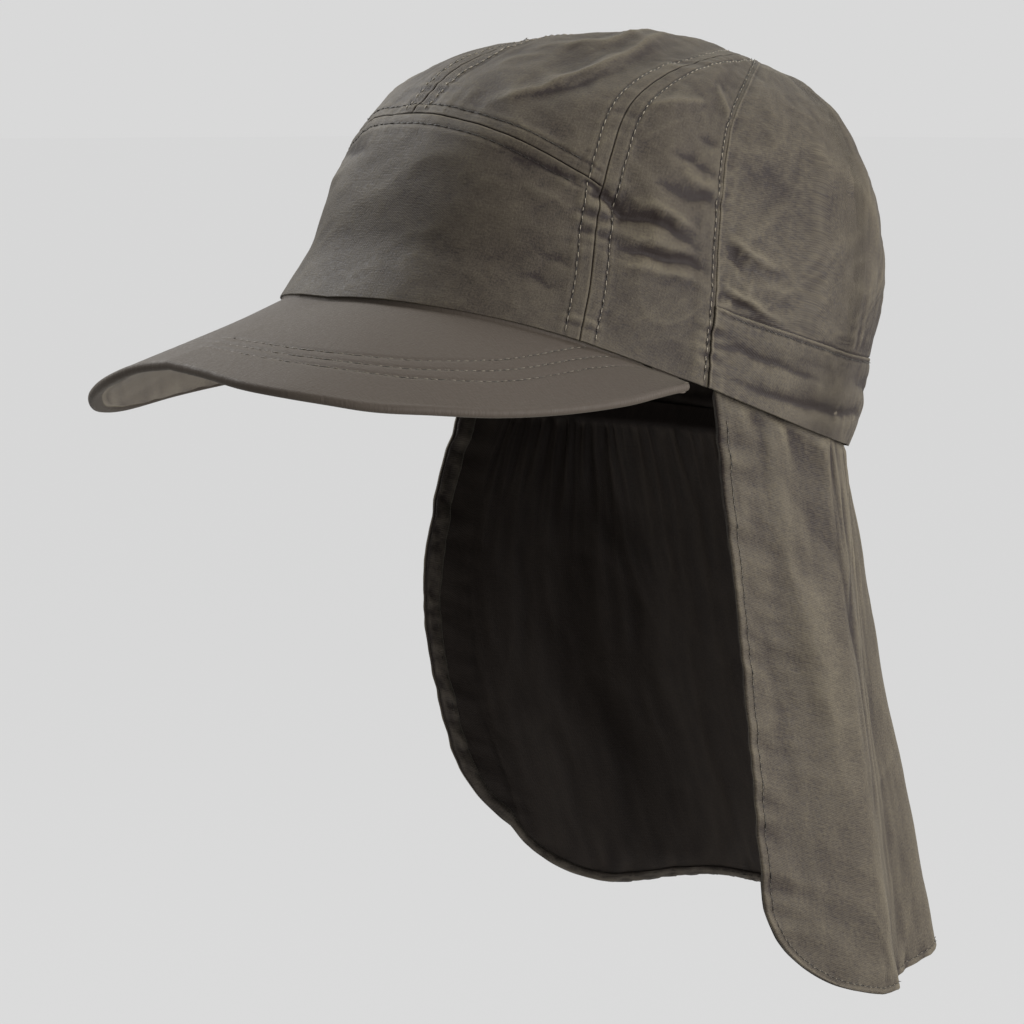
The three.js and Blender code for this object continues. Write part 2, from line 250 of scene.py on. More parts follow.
STREAK = 0.0006
STREAK_TURNS = (6.5, 2.3)
STREAKS_BEHIND = (62, 84)
STREAKS_BELOW = (-0.9, -0.6)
CRUMPLES = [{"height": 0.0010, "size": 0.030}, {"height": 0.0004, "size": 0.013}]
FRONT_CALM = 0.45
CRINKLE = 0.00030
CRINKLE_WIDTH = 0.0085
CRINKLE_BEND = 0.019
CRINKLES_ABOVE = (0.3, 0.42)
FUZZ = 0.00014
FUZZ_SIZE = 0.0042
CREASE_SHARPNESS = 1.3
CREASE_BEND = (0.9, 0.007)
# About how many metres a degree of turn and a whole share are, to weigh a path's spans.
CREASE_SCALE = (0.0013, 0.16)
CREASES = [
    {"path": [(15, 0.42), (25, 0.48), (32, 0.56), (32, 0.64), (28, 0.71), (19, 0.79)],
     "width": 0.0036, "height": 0.0034},
    {"path": [(21, 0.44), (31, 0.5), (38, 0.58)], "width": 0.0035, "height": -0.0012},
    {"path": [(7, 0.57), (17, 0.6), (23, 0.63), (23, 0.68), (16, 0.78)],
     "width": 0.0031, "height": 0.0028},
    {"path": [(20, 0.35), (33, 0.33), (40, 0.322), (47, 0.304)],
     "width": 0.0022, "height": -0.0010},
    {"path": [(42, 0.325), (44, 0.318), (47.5, 0.3), (51, 0.278), (55, 0.284), (59, 0.279),
              (65, 0.258)],
     "width": 0.0017, "height": -0.0027, "lean": 0.7},
    {"path": [(30, 0.292), (38, 0.278), (43, 0.266)], "width": 0.0020, "height": 0.0006},
    {"path": [(36, 0.17), (45, 0.155)], "width": 0.0018, "height": -0.0005},
    {"path": [(34, 0.12), (44, 0.1)], "width": 0.0018, "height": -0.0005},
    {"path": [(-28, 0.335), (-6, 0.32)], "width": 0.0036, "height": -0.0018},
    {"path": [(-30, 0.26), (-16, 0.29)], "width": 0.0036, "height": 0.0010},
    {"path": [(50, 0.312), (56, 0.312), (60, 0.301), (64, 0.288)],
     "width": 0.0017, "height": 0.0014},
    {"path": [(50, 0.213), (55, 0.219), (58.5, 0.222), (63.4, 0.232), (67, 0.221)],
     "width": 0.0019, "height": -0.0019},
    {"path": [(49, 0.245), (56, 0.247), (62, 0.246), (66, 0.25)],
     "width": 0.0018, "height": 0.0009},
    {"path": [(50, 0.185), (58, 0.198), (64, 0.205), (67.5, 0.19)],
     "width": 0.0018, "height": 0.0009},
    {"path": [(58, 0.385), (63, 0.375), (67, 0.372)], "width": 0.0015, "height": 0.0010},
    {"path": [(55, 0.42), (60, 0.41), (65, 0.4)], "width": 0.0020, "height": -0.0013},
    {"path": [(59, 0.465), (65, 0.46)], "width": 0.0018, "height": -0.0010},
    {"path": [(54, 0.355), (61, 0.345), (66, 0.36)], "width": 0.0022, "height": -0.0013},
    {"path": [(59, 0.61), (66.5, 0.51)], "width": 0.0018, "height": 0.0020},
    {"path": [(68.3, 0.305), (73, 0.284), (79, 0.27)], "width": 0.0016, "height": 0.0016},
    {"path": [(68.5, 0.288), (71, 0.262), (73, 0.245)], "width": 0.0017, "height": -0.0013},
    {"path": [(68.3, 0.214), (73, 0.196), (80, 0.18)], "width": 0.0016, "height": 0.0013},
    {"path": [(69, 0.194), (72, 0.184), (76, 0.178)], "width": 0.0015, "height": -0.0010},
    {"path": [(46, 0.49), (54, 0.52), (60, 0.55)], "width": 0.0022, "height": 0.0016},
    {"path": [(-20, 0.44), (-28, 0.5), (-32, 0.6), (-26, 0.72)], "width": 0.0046, "height": 0.0024},
    {"path": [(-8, 0.46), (-14, 0.52), (-12, 0.62)], "width": 0.0036, "height": -0.0012},
    {"path": [(-46, 0.29), (-56, 0.31), (-66, 0.28)], "width": 0.0026, "height": -0.0018},
    {"path": [(-48, 0.2), (-58, 0.19), (-68, 0.2)], "width": 0.0026, "height": -0.0013},
    {"path": [(-50, 0.42), (-58, 0.43), (-65, 0.4)], "width": 0.0024, "height": 0.0012},
    {"path": [(-34, 0.2), (-47, 0.18)], "width": 0.0022, "height": -0.0009},
    {"path": [(78, 0.56), (92, 0.48), (104, 0.36)], "width": 0.0052, "height": 0.0012},
    {"path": [(128, 0.6), (140, 0.46), (146, 0.32)], "width": 0.0056, "height": 0.0014},
    {"path": [(-84, 0.58), (-98, 0.46), (-112, 0.34)], "width": 0.0052, "height": 0.0013},
    {"path": [(-130, 0.62), (-150, 0.45), (-160, 0.3)], "width": 0.0056, "height": -0.0013},
    {"path": [(70, 0.085), (75, 0.1), (80, 0.095), (88, 0.1)], "width": 0.0020, "height": -0.0013},
    {"path": [(72, 0.035), (78, 0.03), (86, 0.04), (98, 0.06), (114, 0.07)],
     "width": 0.0026, "height": -0.0018},
    {"path": [(96, 0.12), (112, 0.13), (132, 0.11)], "width": 0.0026, "height": -0.0015},
    {"path": [(150, 0.07), (172, 0.1), (196, 0.08), (214, 0.1)],
     "width": 0.0028, "height": -0.0016},
    {"path": [(-74, 0.05), (-88, 0.04), (-108, 0.07)], "width": 0.0026, "height": -0.0016},
]


def hashed(*lattice):
    """A number from 0 to 1 for each point of a lattice, the same in each run."""
    steps = (127.1, 311.7, 74.7, 191.3)
    spread = np.sin(sum(a * step for a, step in zip(lattice, steps))) * 43758.5453
    return spread - np.floor(spread)


def noise(*place):
    """Smooth noise from about -0.5 to 0.5 at places with one, two or three coordinates."""
    cell = [np.floor(p) for p in place]
    part = [p - c for p, c in zip(place, cell)]
    fade = [t**3 * (t * (t * 6 - 15) + 10) for t in part]
    total = 0
    for corner in itertools.product((0, 1), repeat=len(place)):
        weight = 1
        slope = 0
        spot = [c + step for c, step in zip(cell, corner)]
        for axis, step in enumerate(corner):
            weight = weight * (fade[axis] if step else 1 - fade[axis])
            slope = slope + (2 * hashed(*spot, 7 + axis) - 1) * (part[axis] - step)
        total = total + weight * slope
    return total


def ridged(*place):
    """Sharp ridges with round valleys between them, from about -0.5 to 0.5."""
    return 0.5 - 2 * np.abs(noise(*place))


def dip(distance, width):
    """1 at no distance, and a smooth fall to nothing over about two widths."""
    return np.exp(-((distance / width) ** 2))


def seam_relief(distance, run, row, puckers=1.0, both=True, valley=1.0):
    """Height of the cloth near a topstitched seam. Distance is signed, across the seam."""
    off = np.abs(distance)
    on_row = off - row if both else distance + row
    height = -SEAM_VALLEY * valley * dip(off, SEAM_VALLEY_WIDTH)
    height = height + WELT * (1 - ease(off, WELT_WIDTH * 0.75, WELT_WIDTH * 1.25))
    height = height - STITCH_GROOVE * dip(on_row, STITCH_GROOVE_WIDTH)
    ripple = noise(run / PUCKER_LENGTH, off * 60) + 0.7 * noise(run / (2.1 * PUCKER_LENGTH) + 40)
    patches = ease(noise(run / PUCKER_PATCH + 60), -0.25, 0.3)
    return height + puckers * PUCKER * ripple * patches * dip(off - 0.6 * row, PUCKER_REACH)


def crease_relief(x, y, x_length, y_length, creases):
    """Height of creases: each is a ridge or a valley along a path, and fades at its ends."""
    total = 0
    bend_x, bend_y = CREASE_BEND
    x = x + bend_x * noise(x / 4.1, y / 0.045) + 0.4 * bend_x * noise(x / 1.7 + 9, y / 0.018)
    y = y + bend_y * noise(x / 3.6 + 30, y / 0.05) + 0.4 * bend_y * noise(x / 1.5, y / 0.02 + 7)
    for crease in creases:
        path = crease["path"]
        spans = [math.hypot((b[0] - a[0]) * CREASE_SCALE[0], (b[1] - a[1]) * CREASE_SCALE[1])
                 for a, b in zip(path, path[1:])]
        nearest = np.full(np.shape(x), 1e9)
        travelled = np.zeros(np.shape(x))
        for number, (a, b) in enumerate(zip(path, path[1:])):
            run_x = (b[0] - a[0]) * x_length
            run_y = (b[1] - a[1]) * y_length
            off_x = half_turn(x - a[0]) * x_length
            off_y = (y - a[1]) * y_length
            t = np.clip((off_x * run_x + off_y * run_y) / (run_x**2 + run_y**2), 0, 1)
            off = np.hypot(off_x - t * run_x, off_y - t * run_y)
            here = (sum(spans[:number]) + t * spans[number]) / sum(spans)
            travelled = np.where(off < nearest, here, travelled)
            nearest = np.minimum(nearest, off)
        fade = np.sin(np.pi * np.clip(travelled, 0, 1) ** crease.get("lean", 1)) ** 1.1
        width = crease["width"] * (0.55 + 0.6 * fade)
        total = total + crease["height"] * fade * np.exp(-((nearest / width) ** CREASE_SHARPNESS))
    return total


def crumple(points, size):
    """Soft crumpling with sharper ridges, from -0.5 to 0.5, with bumps of about this size."""
    x, y, z = parts(points, size)
    bend = noise(x * 0.6 + 11, y * 0.6, z * 0.6)
    return ridged(x + bend, y + 5 - bend, z)


def crown_relief(turn, share):
    """Height of the cloth over the crown's smooth form, for any point of it."""
    turn = half_turn(turn)
    side = np.abs(turn)
    width, depth = (length(way) for way in slopes(turn, share))
    run = share * MERIDIAN
    on_front, on_side = (
        (side - column(SEAMS, key, share)) * width * slant_share(key, share, width, depth)
        for key in ("front", "side")
    )
    on_top = (share - front_top(turn)) * depth
    on_band = (share - band_top(turn)) * depth
    inner = ease(-on_front, *SEAM_BLEND)
    outer = ease(on_side, *SEAM_BLEND)
    above_top = ease(on_top, *SEAM_BLEND) * inner
    above_band = ease(on_band, *SEAM_BLEND) * outer
    away = ease(share, 0.0, RIM_CALM)

    height = fold_height(turn, share) + crease_relief(turn, share, width, MERIDIAN, CREASES)
    height = height + seam_relief(on_front, run + np.sign(turn), OPEN_SEAM_ROW,
                                  SEAM_PUCKERS["front"] * away)
    height = height + seam_relief(on_side, run + 3, LAP_SEAM_ROW, SEAM_PUCKERS["side"] * away,
                                  both=False, valley=SIDE_VALLEY)
    height = height + SIDE_FOLD * dip(on_side - SIDE_FOLD_WIDTH, SIDE_FOLD_WIDTH)
    for key, off, along, row, panels in (
        ("top", on_top, turn * width + 5, TOP_SEAM_ROW, inner),
        ("centre", side * width, run + 7, OPEN_SEAM_ROW, above_top),
        ("nape", (180 - side) * width, run + 9, OPEN_SEAM_ROW, above_band),
    ):
        height = height + seam_relief(off, along, row, SEAM_PUCKERS[key]) * panels
    height = height + seam_relief(on_band, side * width, BAND_ROW, SEAM_PUCKERS["band"],
                                  both=False) * outer
    height = height - WAIST * dip(on_band, WAIST_REACH) * band_share(turn) * outer

    gathers = noise(turn / GATHER_TURN, share * 3) + 0.5 * noise(turn / (0.5 * GATHER_TURN) + 30)
    fade = np.exp(-np.maximum(0, share - band_top(turn)) / GATHER_REACH)
    height = height + GATHER * gathers * fade * above_band * ease(on_band, 0, GATHER_START)
    pleats = noise(turn / (1.15 * GATHER_TURN) + 60) * ease(side, *PLEATS_BEHIND)
    height = height + 0.6 * GATHER * pleats * outer * (1 - above_band)

    streaks = noise(turn / STREAK_TURNS[0] + 2 * share, share * 3 + 80)
    streaks = streaks + 0.45 * noise(turn / STREAK_TURNS[1] - 3 * share, share * 7 + 30)
    behind = ease(side, *STREAKS_BEHIND) * above_band * ease(-share, *STREAKS_BELOW)
    height = height + STREAK * streaks * behind
    points = smooth_crown(turn, share)
    soft = 1 - FRONT_CALM * ease(-on_top, -0.002, 0.004) * inner
    for number, lumps in enumerate(CRUMPLES):
        height = height + lumps["height"] * soft * crumple(points + number, lumps["size"])
    x, y, z = parts(points)
    bent = (x - y + 1.6 * z) / CRINKLE_WIDTH + 1.3 * noise(*parts(points, CRINKLE_BEND))
    high_up = np.clip(ease(share, *CRINKLES_ABOVE) + above_band, 0, 1)
    height = height + CRINKLE * ridged(bent, z / 0.021, x / 0.027) * mix(0.15, 1, high_up)
    return height + FUZZ * noise(*parts(points, FUZZ_SIZE))


def crown_cloth(turn, share, lift=0.0):
    """Points of the cloth, and the height of each over the smooth form."""
    height = crown_relief(turn, share)
    normal = crown_normal(turn, share)
    points = smooth_crown(turn, share) + normal * (height + lift)[..., None]
    return points, height - fold_height(turn, share)


CLOTH_WALL = 0.0009
RIDGE_FULL = 0.0012
CROWDING = 0.72
# Weights of the tone: ridges and crests lighter, partly crease wear and partly painted highlight,
# valleys darker as painted shade, and faces turned up lighter as painted light from above.
RIDGE_WEAR_AND_PAINTED_LIGHT = 0.26
CREST_WEAR_AND_PAINTED_HIGHLIGHT = 0.60
SLOPE_PAINTED_LIGHT = 0.85
CREST_REACHES = (1, 2, 4)
CREST_BLUR = 0.0012
CREST_FULL = 110.0


def crowd(t):
    """Shares from 0 to 1 that lie closer together towards both ends."""
    return mix(t, t * t * (3 - 2 * t), CROWDING)


def crests(points, normals, shape):
    """How sharply a grid of points bends outwards along its normals, as a share of CREST_FULL."""
    points = points.reshape(*shape, 3)
    normals = normals.reshape(*shape, 3)
    total = np.zeros(shape)
    for axis in range(2):
        for reach in CREST_REACHES:
            low, middle, high = (
                np.take(points, np.clip(np.arange(shape[axis]) + step, 0, shape[axis] - 1), axis)
                for step in (-reach, 0, reach)
            )
            gap = (np.linalg.norm(high - low, axis=-1) / 2) ** 2 + CREST_BLUR**2
            total += ((middle - (low + high) / 2) * normals).sum(-1) / gap
    return np.tanh(total / (len(CREST_REACHES) * CREST_FULL)).ravel()


def bent_grid(name, columns, rows, place, materials):
    """A grid whose points go where place(u, v) puts them, with its flat measure as its UV map.

    Its tone, kept for the colour, paints light and shade: it is high on ridges and sharp crests,
    partly as crease wear and partly as painted highlight, low in valleys and folds as painted
    shade, and high where it faces up as painted light from above.
    """
    form = bmesh.new()
    weave = form.loops.layers.uv.new("weave")
    tone = form.verts.layers.float.new("tone")
    bmesh.ops.create_grid(form, x_segments=columns, y_segments=rows, size=0.5)
    flat = np.array([vert.co[:2] for vert in form.verts]) + 0.5
    points, measure, height, smooth = place(flat[:, 0], flat[:, 1])
    crest = crests(points, smooth, (rows + 1, columns + 1))
    for vert, point in zip(form.verts, points):
        vert.co = point
    form.normal_update()
    for vert, low, sharp, even in zip(form.verts, height, crest, smooth):
        # Painted light and shade, with some crease wear, go into each point's tone here.
        vert[tone] = RIDGE_WEAR_AND_PAINTED_LIGHT * low + CREST_WEAR_AND_PAINTED_HIGHLIGHT * sharp + SLOPE_PAINTED_LIGHT * (vert.normal.z - even[2])
    form.verts.index_update()
    for face in form.faces:
        face.smooth = True
        for loop in face.loops:
            loop[weave].uv = measure[loop.vert.index]
    mesh = bpy.data.meshes.new(name)
    form.to_mesh(mesh)
    form.free()
    for material in materials:
        mesh.materials.append(material)
    piece = bpy.data.objects.new(name, mesh)
    scene.collection.objects.link(piece)
    return piece


def give_wall(piece, wall):
    solid = piece.modifiers.new("wall", "SOLIDIFY")
    solid.thickness = wall
    solid.offset = -1
    solid.material_offset = 1
    solid.material_offset_rim = 0


# The twill is woven from purple brown and olive grey threads. Its reverse is darker, partly its own
# colour and partly painted shade for the shadow inside the cap.
TWILL_PITCH = 0.00070
BROWN = (0.0118, 0.0078, 0.0066)
OLIVE = (0.0560, 0.0460, 0.0318)
SHADED_REVERSE_BROWN = (0.0160, 0.0120, 0.0102)
SHADED_REVERSE_OLIVE = (0.0300, 0.0235, 0.0190)
# How far past the olive the colour goes on bright crests, as a painted highlight.
CREST_REACH = 2.4
SHEEN_TINT = (0.86, 0.82, 0.66)
TWILL_ROUGHNESS = 0.68
RIB_WOBBLE = 300.0
THREAD_FINE = 1900.0
THREAD_LONG = 420.0
CLOUDS = 48.0
GRAIN = 1400.0
TONE_MIDDLE = 0.42
TONE_SHARES = {"clouds": 0.65, "threads": 0.75, "grain": 0.9, "ribs": 0.16}
TWILL_DEPTH = 0.00016


class Wire:
    """A socket of a material's node tree that takes part in sums as a number does."""

    def __init__(self, socket):
        self.socket = socket

    def node(self, kind, settings, values, output=0):
        """A new node's output. Its settings are set first, then its sockets' values or links."""
        tree = self.socket.id_data
        made = tree.nodes.new(kind)
        for key, value in settings.items():
            setattr(made, key, value)
        for key, value in values.items():
            if isinstance(value, Wire):
                tree.links.new(value.socket, made.inputs[key])
            else:
                made.inputs[key].default_value = value
        return Wire(made.outputs[output])

    def maths(self, operation, a, b=0.0):
        return self.node("ShaderNodeMath", {"operation": operation}, {0: a, 1: b})

    def __add__(self, other):
        return self.maths("ADD", self, other)

    def __radd__(self, other):
        return self.maths("ADD", other, self)

    def __sub__(self, other):
        return self.maths("SUBTRACT", self, other)

    def __rsub__(self, other):
        return self.maths("SUBTRACT", other, self)

    def __mul__(self, other):
        return self.maths("MULTIPLY", self, other)

    def __rmul__(self, other):
        return self.maths("MULTIPLY", other, self)

    def part(self, axis):
        return self.node("ShaderNodeSeparateXYZ", {}, {0: self}, axis)

    def noise(self, scale, detail):
        values = {"Vector": self, "Scale": scale, "Detail": detail}
        return self.node("ShaderNodeTexNoise", {}, values)

    def blend(self, low, high):
        """A colour between two colours, by this socket's value, which is kept from 0 to 1."""
        settings = {"data_type": "RGBA", "clamp_factor": True}
        return self.node("ShaderNodeMix", settings, {0: self, 6: (*low, 1), 7: (*high, 1)}, 2)

    def to(self, shader, name):
        self.socket.id_data.links.new(self.socket, shader.inputs[name])


def start_material(name, roughness, sheen):
    """A new material, its shader, and a wire from which other nodes can be made."""
    material = bpy.data.materials.new(name)
    material.use_nodes = True
    shader = material.node_tree.nodes["Principled BSDF"]
    shader.inputs["Roughness"].default_value = roughness
    shader.inputs["Specular IOR Level"].default_value = 0.15
    shader.inputs["Sheen Weight"].default_value = sheen
    shader.inputs["Sheen Roughness"].default_value = 0.4
    shader.inputs["Sheen Tint"].default_value = (*SHEEN_TINT, 1)
    return material, shader, Wire(shader.outputs[0])


def twill(name, low, high, lift=0.0, sheen=0.05, ribs_depth=1.0):
    """The cloth over a piece's flat measure: ribs on the slant, uneven threads, soft clouds.

    Its tone, which carries the grid's painted light and shade, goes from low to high, and on bright
    crests CREST_REACH times as far, as a painted highlight. A lift lightens the whole cloth, as
    painted light.
    """
    material, shader, wire = start_material(name, TWILL_ROUGHNESS, sheen)
    measure = wire.node("ShaderNodeUVMap", {"uv_map": "weave"}, {})
    across, along = measure.part(0), measure.part(1)
    wobble = measure.noise(RIB_WOBBLE, 2.0)
    phase = (across - along) * (2 * math.pi / TWILL_PITCH) + wobble * 3.0
    ribs = phase.maths("SINE", phase) * 0.5
    warp, weft = (
        wire.node("ShaderNodeCombineXYZ", {}, {0: across * fine, 1: along * coarse})
        for fine, coarse in ((THREAD_FINE, THREAD_LONG), (THREAD_LONG, THREAD_FINE))
    )
    threads = warp.noise(1.0, 3.0) + weft.noise(1.0, 3.0) - 1.0
    clouds = measure.noise(CLOUDS, 4.0) - 0.5
    # The tone attribute brings in the grid's painted light and shade, with some crease wear.
    relief = wire.node("ShaderNodeAttribute", {"attribute_name": "tone"}, {}, 2)
    grain = measure.noise(GRAIN, 2.0) - 0.5
    tone = relief + clouds * TONE_SHARES["clouds"] + threads * TONE_SHARES["threads"]
    tone = tone + grain * TONE_SHARES["grain"] + ribs * (TONE_SHARES["ribs"] * ribs_depth)
    bright = [a + CREST_REACH * (b - a) for a, b in zip(low, high)]
    share = (tone + (TONE_MIDDLE + lift)) * (1 / CREST_REACH)
    share.blend(low, bright).to(shader, "Base Color")
    (threads * 0.3 + 0.66).to(shader, "Roughness")
    surface = ribs * (0.4 * ribs_depth) + threads * 1.2 + grain
    bump = {"Strength": 0.6, "Distance": TWILL_DEPTH, "Height": surface}
    wire.node("ShaderNodeBump", {}, bump).to(shader, "Normal")
    return material


face_cloth = twill("twill_face", BROWN, OLIVE)
# The reverse lines every inner face, darkened partly as painted shade.
shaded_reverse_cloth = twill("twill_reverse", SHADED_REVERSE_BROWN, SHADED_REVERSE_OLIVE, sheen=0.02)

PANEL_POLE = 0.9985
WIDEST_SHARE = 0.3
SEAM_TUCK = 0.009


def crown_panel(name, columns, rows, start, end, bottom, top, lift=0.0):
    """A panel between two long seams and two cross seams, which are functions."""

    def place(u, v):
        across, up = crowd(u), crowd(v)
        share = up
        for _ in range(8):
            turn = mix(start(share), end(share), across)
            share = mix(bottom(turn), top(turn), up)
        points, height = crown_cloth(turn, share, lift)
        middle = 0.5 * (start(WIDEST_SHARE) + end(WIDEST_SHARE))
        width = length(slopes(turn, np.full_like(share, WIDEST_SHARE))[0])
        measure = np.stack([half_turn(turn - middle) * width, share * MERIDIAN], axis=-1)
        ridge = np.tanh(height / RIDGE_FULL)
        return points, measure, ridge, crown_normal(turn, share)

    piece = bent_grid(name + "_cloth", columns, rows, place, [face_cloth, shaded_reverse_cloth])
    give_wall(piece, CLOTH_WALL)
    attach(piece, "root")
    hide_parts(name)


def seam_turn(key, side):
    return lambda share: side * column(SEAMS, key, np.asarray(share, float))


def level(value):
    """The same turn or share all along."""
    return lambda along: np.full_like(np.asarray(along, float), value)


crown_panel("front_panel", 150, 74, seam_turn("front", -1), seam_turn("front", 1),
            level(0.0), front_top)
for word, sign in (("left", 1), ("right", -1)):
    seams = {
        "top_panel": [level(0.0), seam_turn("front", sign)],
        "side_panel": [seam_turn("front", sign), seam_turn("side", sign)],
        "back_panel": [seam_turn("side", sign), level(180.0 * sign)],
    }
    if sign < 0:
        seams = {key: pair[::-1] for key, pair in seams.items()}
    crown_panel("top_panel_" + word, 92, 132, *seams["top_panel"], front_top, level(PANEL_POLE))
    crown_panel("side_panel_" + word, 76, 210, *seams["side_panel"], level(0.0), level(PANEL_POLE))
    crown_panel("back_panel_" + word, 150, 150, *seams["back_panel"],
                lambda turn: band_top(turn) - SEAM_TUCK, level(PANEL_POLE))

# The back band. Two layers of the cloth round the nape with elastic between them, a little
# thicker than the panels, gathered at the back and creased along its length.
BAND_LIFT = 0.0004
crown_panel("back_band", 330, 44, seam_turn("side", 1),
            lambda share: 360 - column(SEAMS, "side", np.asarray(share, float)),
            level(0.0), band_top, lift=BAND_LIFT)

# The neck flap. One sheet of the twill, sewn to the inside of the band and hung below its
# lower edge. Its three free edges are turned twice to the inside and stitched.
FLAP_DROP = 0.172
FLAP_LEFT_EXTRA = 0.021
FLAP_LEFT_TURN = 73
FLAP_RIGHT_TURN = 85
FLAP_TUCK = 0.06
FLAP_HANG = 0.93
FLAP_CROWDING = 1.25
FLAP_LEFT_CORNER = 0.022
FLAP_RIGHT_CORNER = 0.046
FLAP_FOLD_HEIGHT = 0.007
FLAP_DEPTH = 0.0019
FLAP_PAINTED_LIGHT = 0.13
FLAP_RIDGE_FULL = 1.6 * RIDGE_FULL
FLAP_GATHER = 0.0030
FLAP_GATHER_TURN = 3.4
FLAP_GATHER_FADE = 0.16
FLAP_PLEAT = 0.0013
FLAP_PLEAT_TURN = 3.1
FLAP_PLEAT_FADE = 0.11
FLAP_CRUMPLE = {"height": 0.0006, "size": 0.017}
HEM_WIDTH = 0.0026
HEM_RISE = 0.0003
HEM_ROW = 0.0020
HEM_GROOVE = 0.00035
HEM_PUCKER = 0.0010
HEM_PUCKER_LENGTH = 0.0055
HEM_PUCKER_REACH = 0.011
HEM_CORNER_BLEND = 0.012
# The cloth lies calmer round one turn. Its hanging waves are given by their height, and by
# their width and length.
CALM = {"turn": 128, "width": 13, "depth": 0.65}
FLAP_WAVES = {
    "wave": (0.0017, 0.012, 0.085),
    "ripple": (0.0007, 0.0058, 0.04),
    "streak": (0.00032, 0.0062, 0.075),
    "fuzz": (0.00022, 0.0034, 0.012),
}
FLAP_SECTIONS = [
    {"left": 0.0, "right": 0.0, "back": 0.0, "wide": 0.0},
    {"left": 0.04, "right": -0.08, "back": 0.06, "wide": -0.01},
    {"left": 0.08, "right": -0.13, "back": 0.1, "wide": -0.02},
    {"left": 0.12, "right": -0.13, "back": 0.15, "wide": -0.03},
    {"left": 0.15, "right": -0.085, "back": 0.21, "wide": -0.03},
    {"left": 0.18, "right": -0.02, "back": 0.265, "wide": -0.03},
    {"left": 0.205, "right": 0.04, "back": 0.315, "wide": -0.03},
]
FLAP_FOLDS = [
    {"turn": 92, "width": 7, "top": 0.3, "bottom": 0.2},
    {"turn": 112, "width": 9, "top": -0.3, "bottom": -0.5},
    {"turn": 132, "width": 9, "top": 0.3, "bottom": 0.9},
    {"turn": 153, "width": 9, "top": -0.2, "bottom": -0.6},
    {"turn": 176, "width": 10, "top": 0.3, "bottom": 0.9},
    {"turn": 200, "width": 10, "top": -0.3, "bottom": -0.7},
    {"turn": 222, "width": 9, "top": 0.3, "bottom": 0.6},
    {"turn": 245, "width": 9, "top": -0.3, "bottom": -0.4},
    {"turn": 262, "width": 7, "top": 0.2, "bottom": 0.2},
]
FLAP_CREASES = [
    {"path": [(77, 0.14), (82, 0.21), (85, 0.35), (87, 0.5), (89, 0.75)],
     "width": 0.0042, "height": 0.0020},
    {"path": [(80, 0.05), (90, 0.2), (97, 0.4), (99, 0.62)], "width": 0.0046, "height": -0.0016},
    {"path": [(104, 0.03), (110, 0.25), (108, 0.55)], "width": 0.0044, "height": 0.0014},
    {"path": [(76, 0.3), (79, 0.5), (80, 0.7)], "width": 0.0032, "height": -0.0010},
    {"path": [(140, 0.05), (146, 0.4), (143, 0.8)], "width": 0.0050, "height": 0.0014},
    {"path": [(190, 0.06), (186, 0.35), (190, 0.7)], "width": 0.0050, "height": -0.0014},
    {"path": [(236, 0.04), (232, 0.3), (238, 0.66)], "width": 0.0050, "height": 0.0014},
]
TURN_LENGTH = math.radians(HALF_WIDTH)


def flap_length(turn):
    to_nape = ease((turn - FLAP_LEFT_TURN) / (180 - FLAP_LEFT_TURN), 0, 1)
    return FLAP_DROP + FLAP_LEFT_EXTRA * (1 - to_nape)


def flap_root(turn, share):
    """Where the flap is sewn on, inside the band."""
    lift = fold_height(turn, share) - FLAP_DEPTH
    return smooth_crown(turn, share) + crown_normal(turn, share) * lift[..., None]


def flap_fold(turn, drop):
    """The large hanging folds that the flap's solid has too."""
    height = 0
    for fold in FLAP_FOLDS:
        bump = 1 - ease(np.abs(turn - fold["turn"]), 0, 2 * fold["width"])
        height = height + mix(fold["top"], fold["bottom"], drop) * bump
    return FLAP_FOLD_HEIGHT * height * ease(drop, 0, 0.25)


def flap_out(turn):
    """The level way outwards at each turn of the band's lower edge."""
    away = crown_normal(turn, np.zeros_like(turn)) * (1, 1, 0)
    return unit(away)


def flap_edge(key, height):
    """A front edge of the flap as a turn, at a height over the hem: its lower corner is round."""
    radius = FLAP_LEFT_CORNER if key == "left" else FLAP_RIGHT_CORNER
    below = np.clip(radius - height, 0, radius)
    cut = (radius - np.sqrt(radius**2 - below**2)) / TURN_LENGTH
    return FLAP_LEFT_TURN + cut if key == "left" else 360 - FLAP_RIGHT_TURN - cut


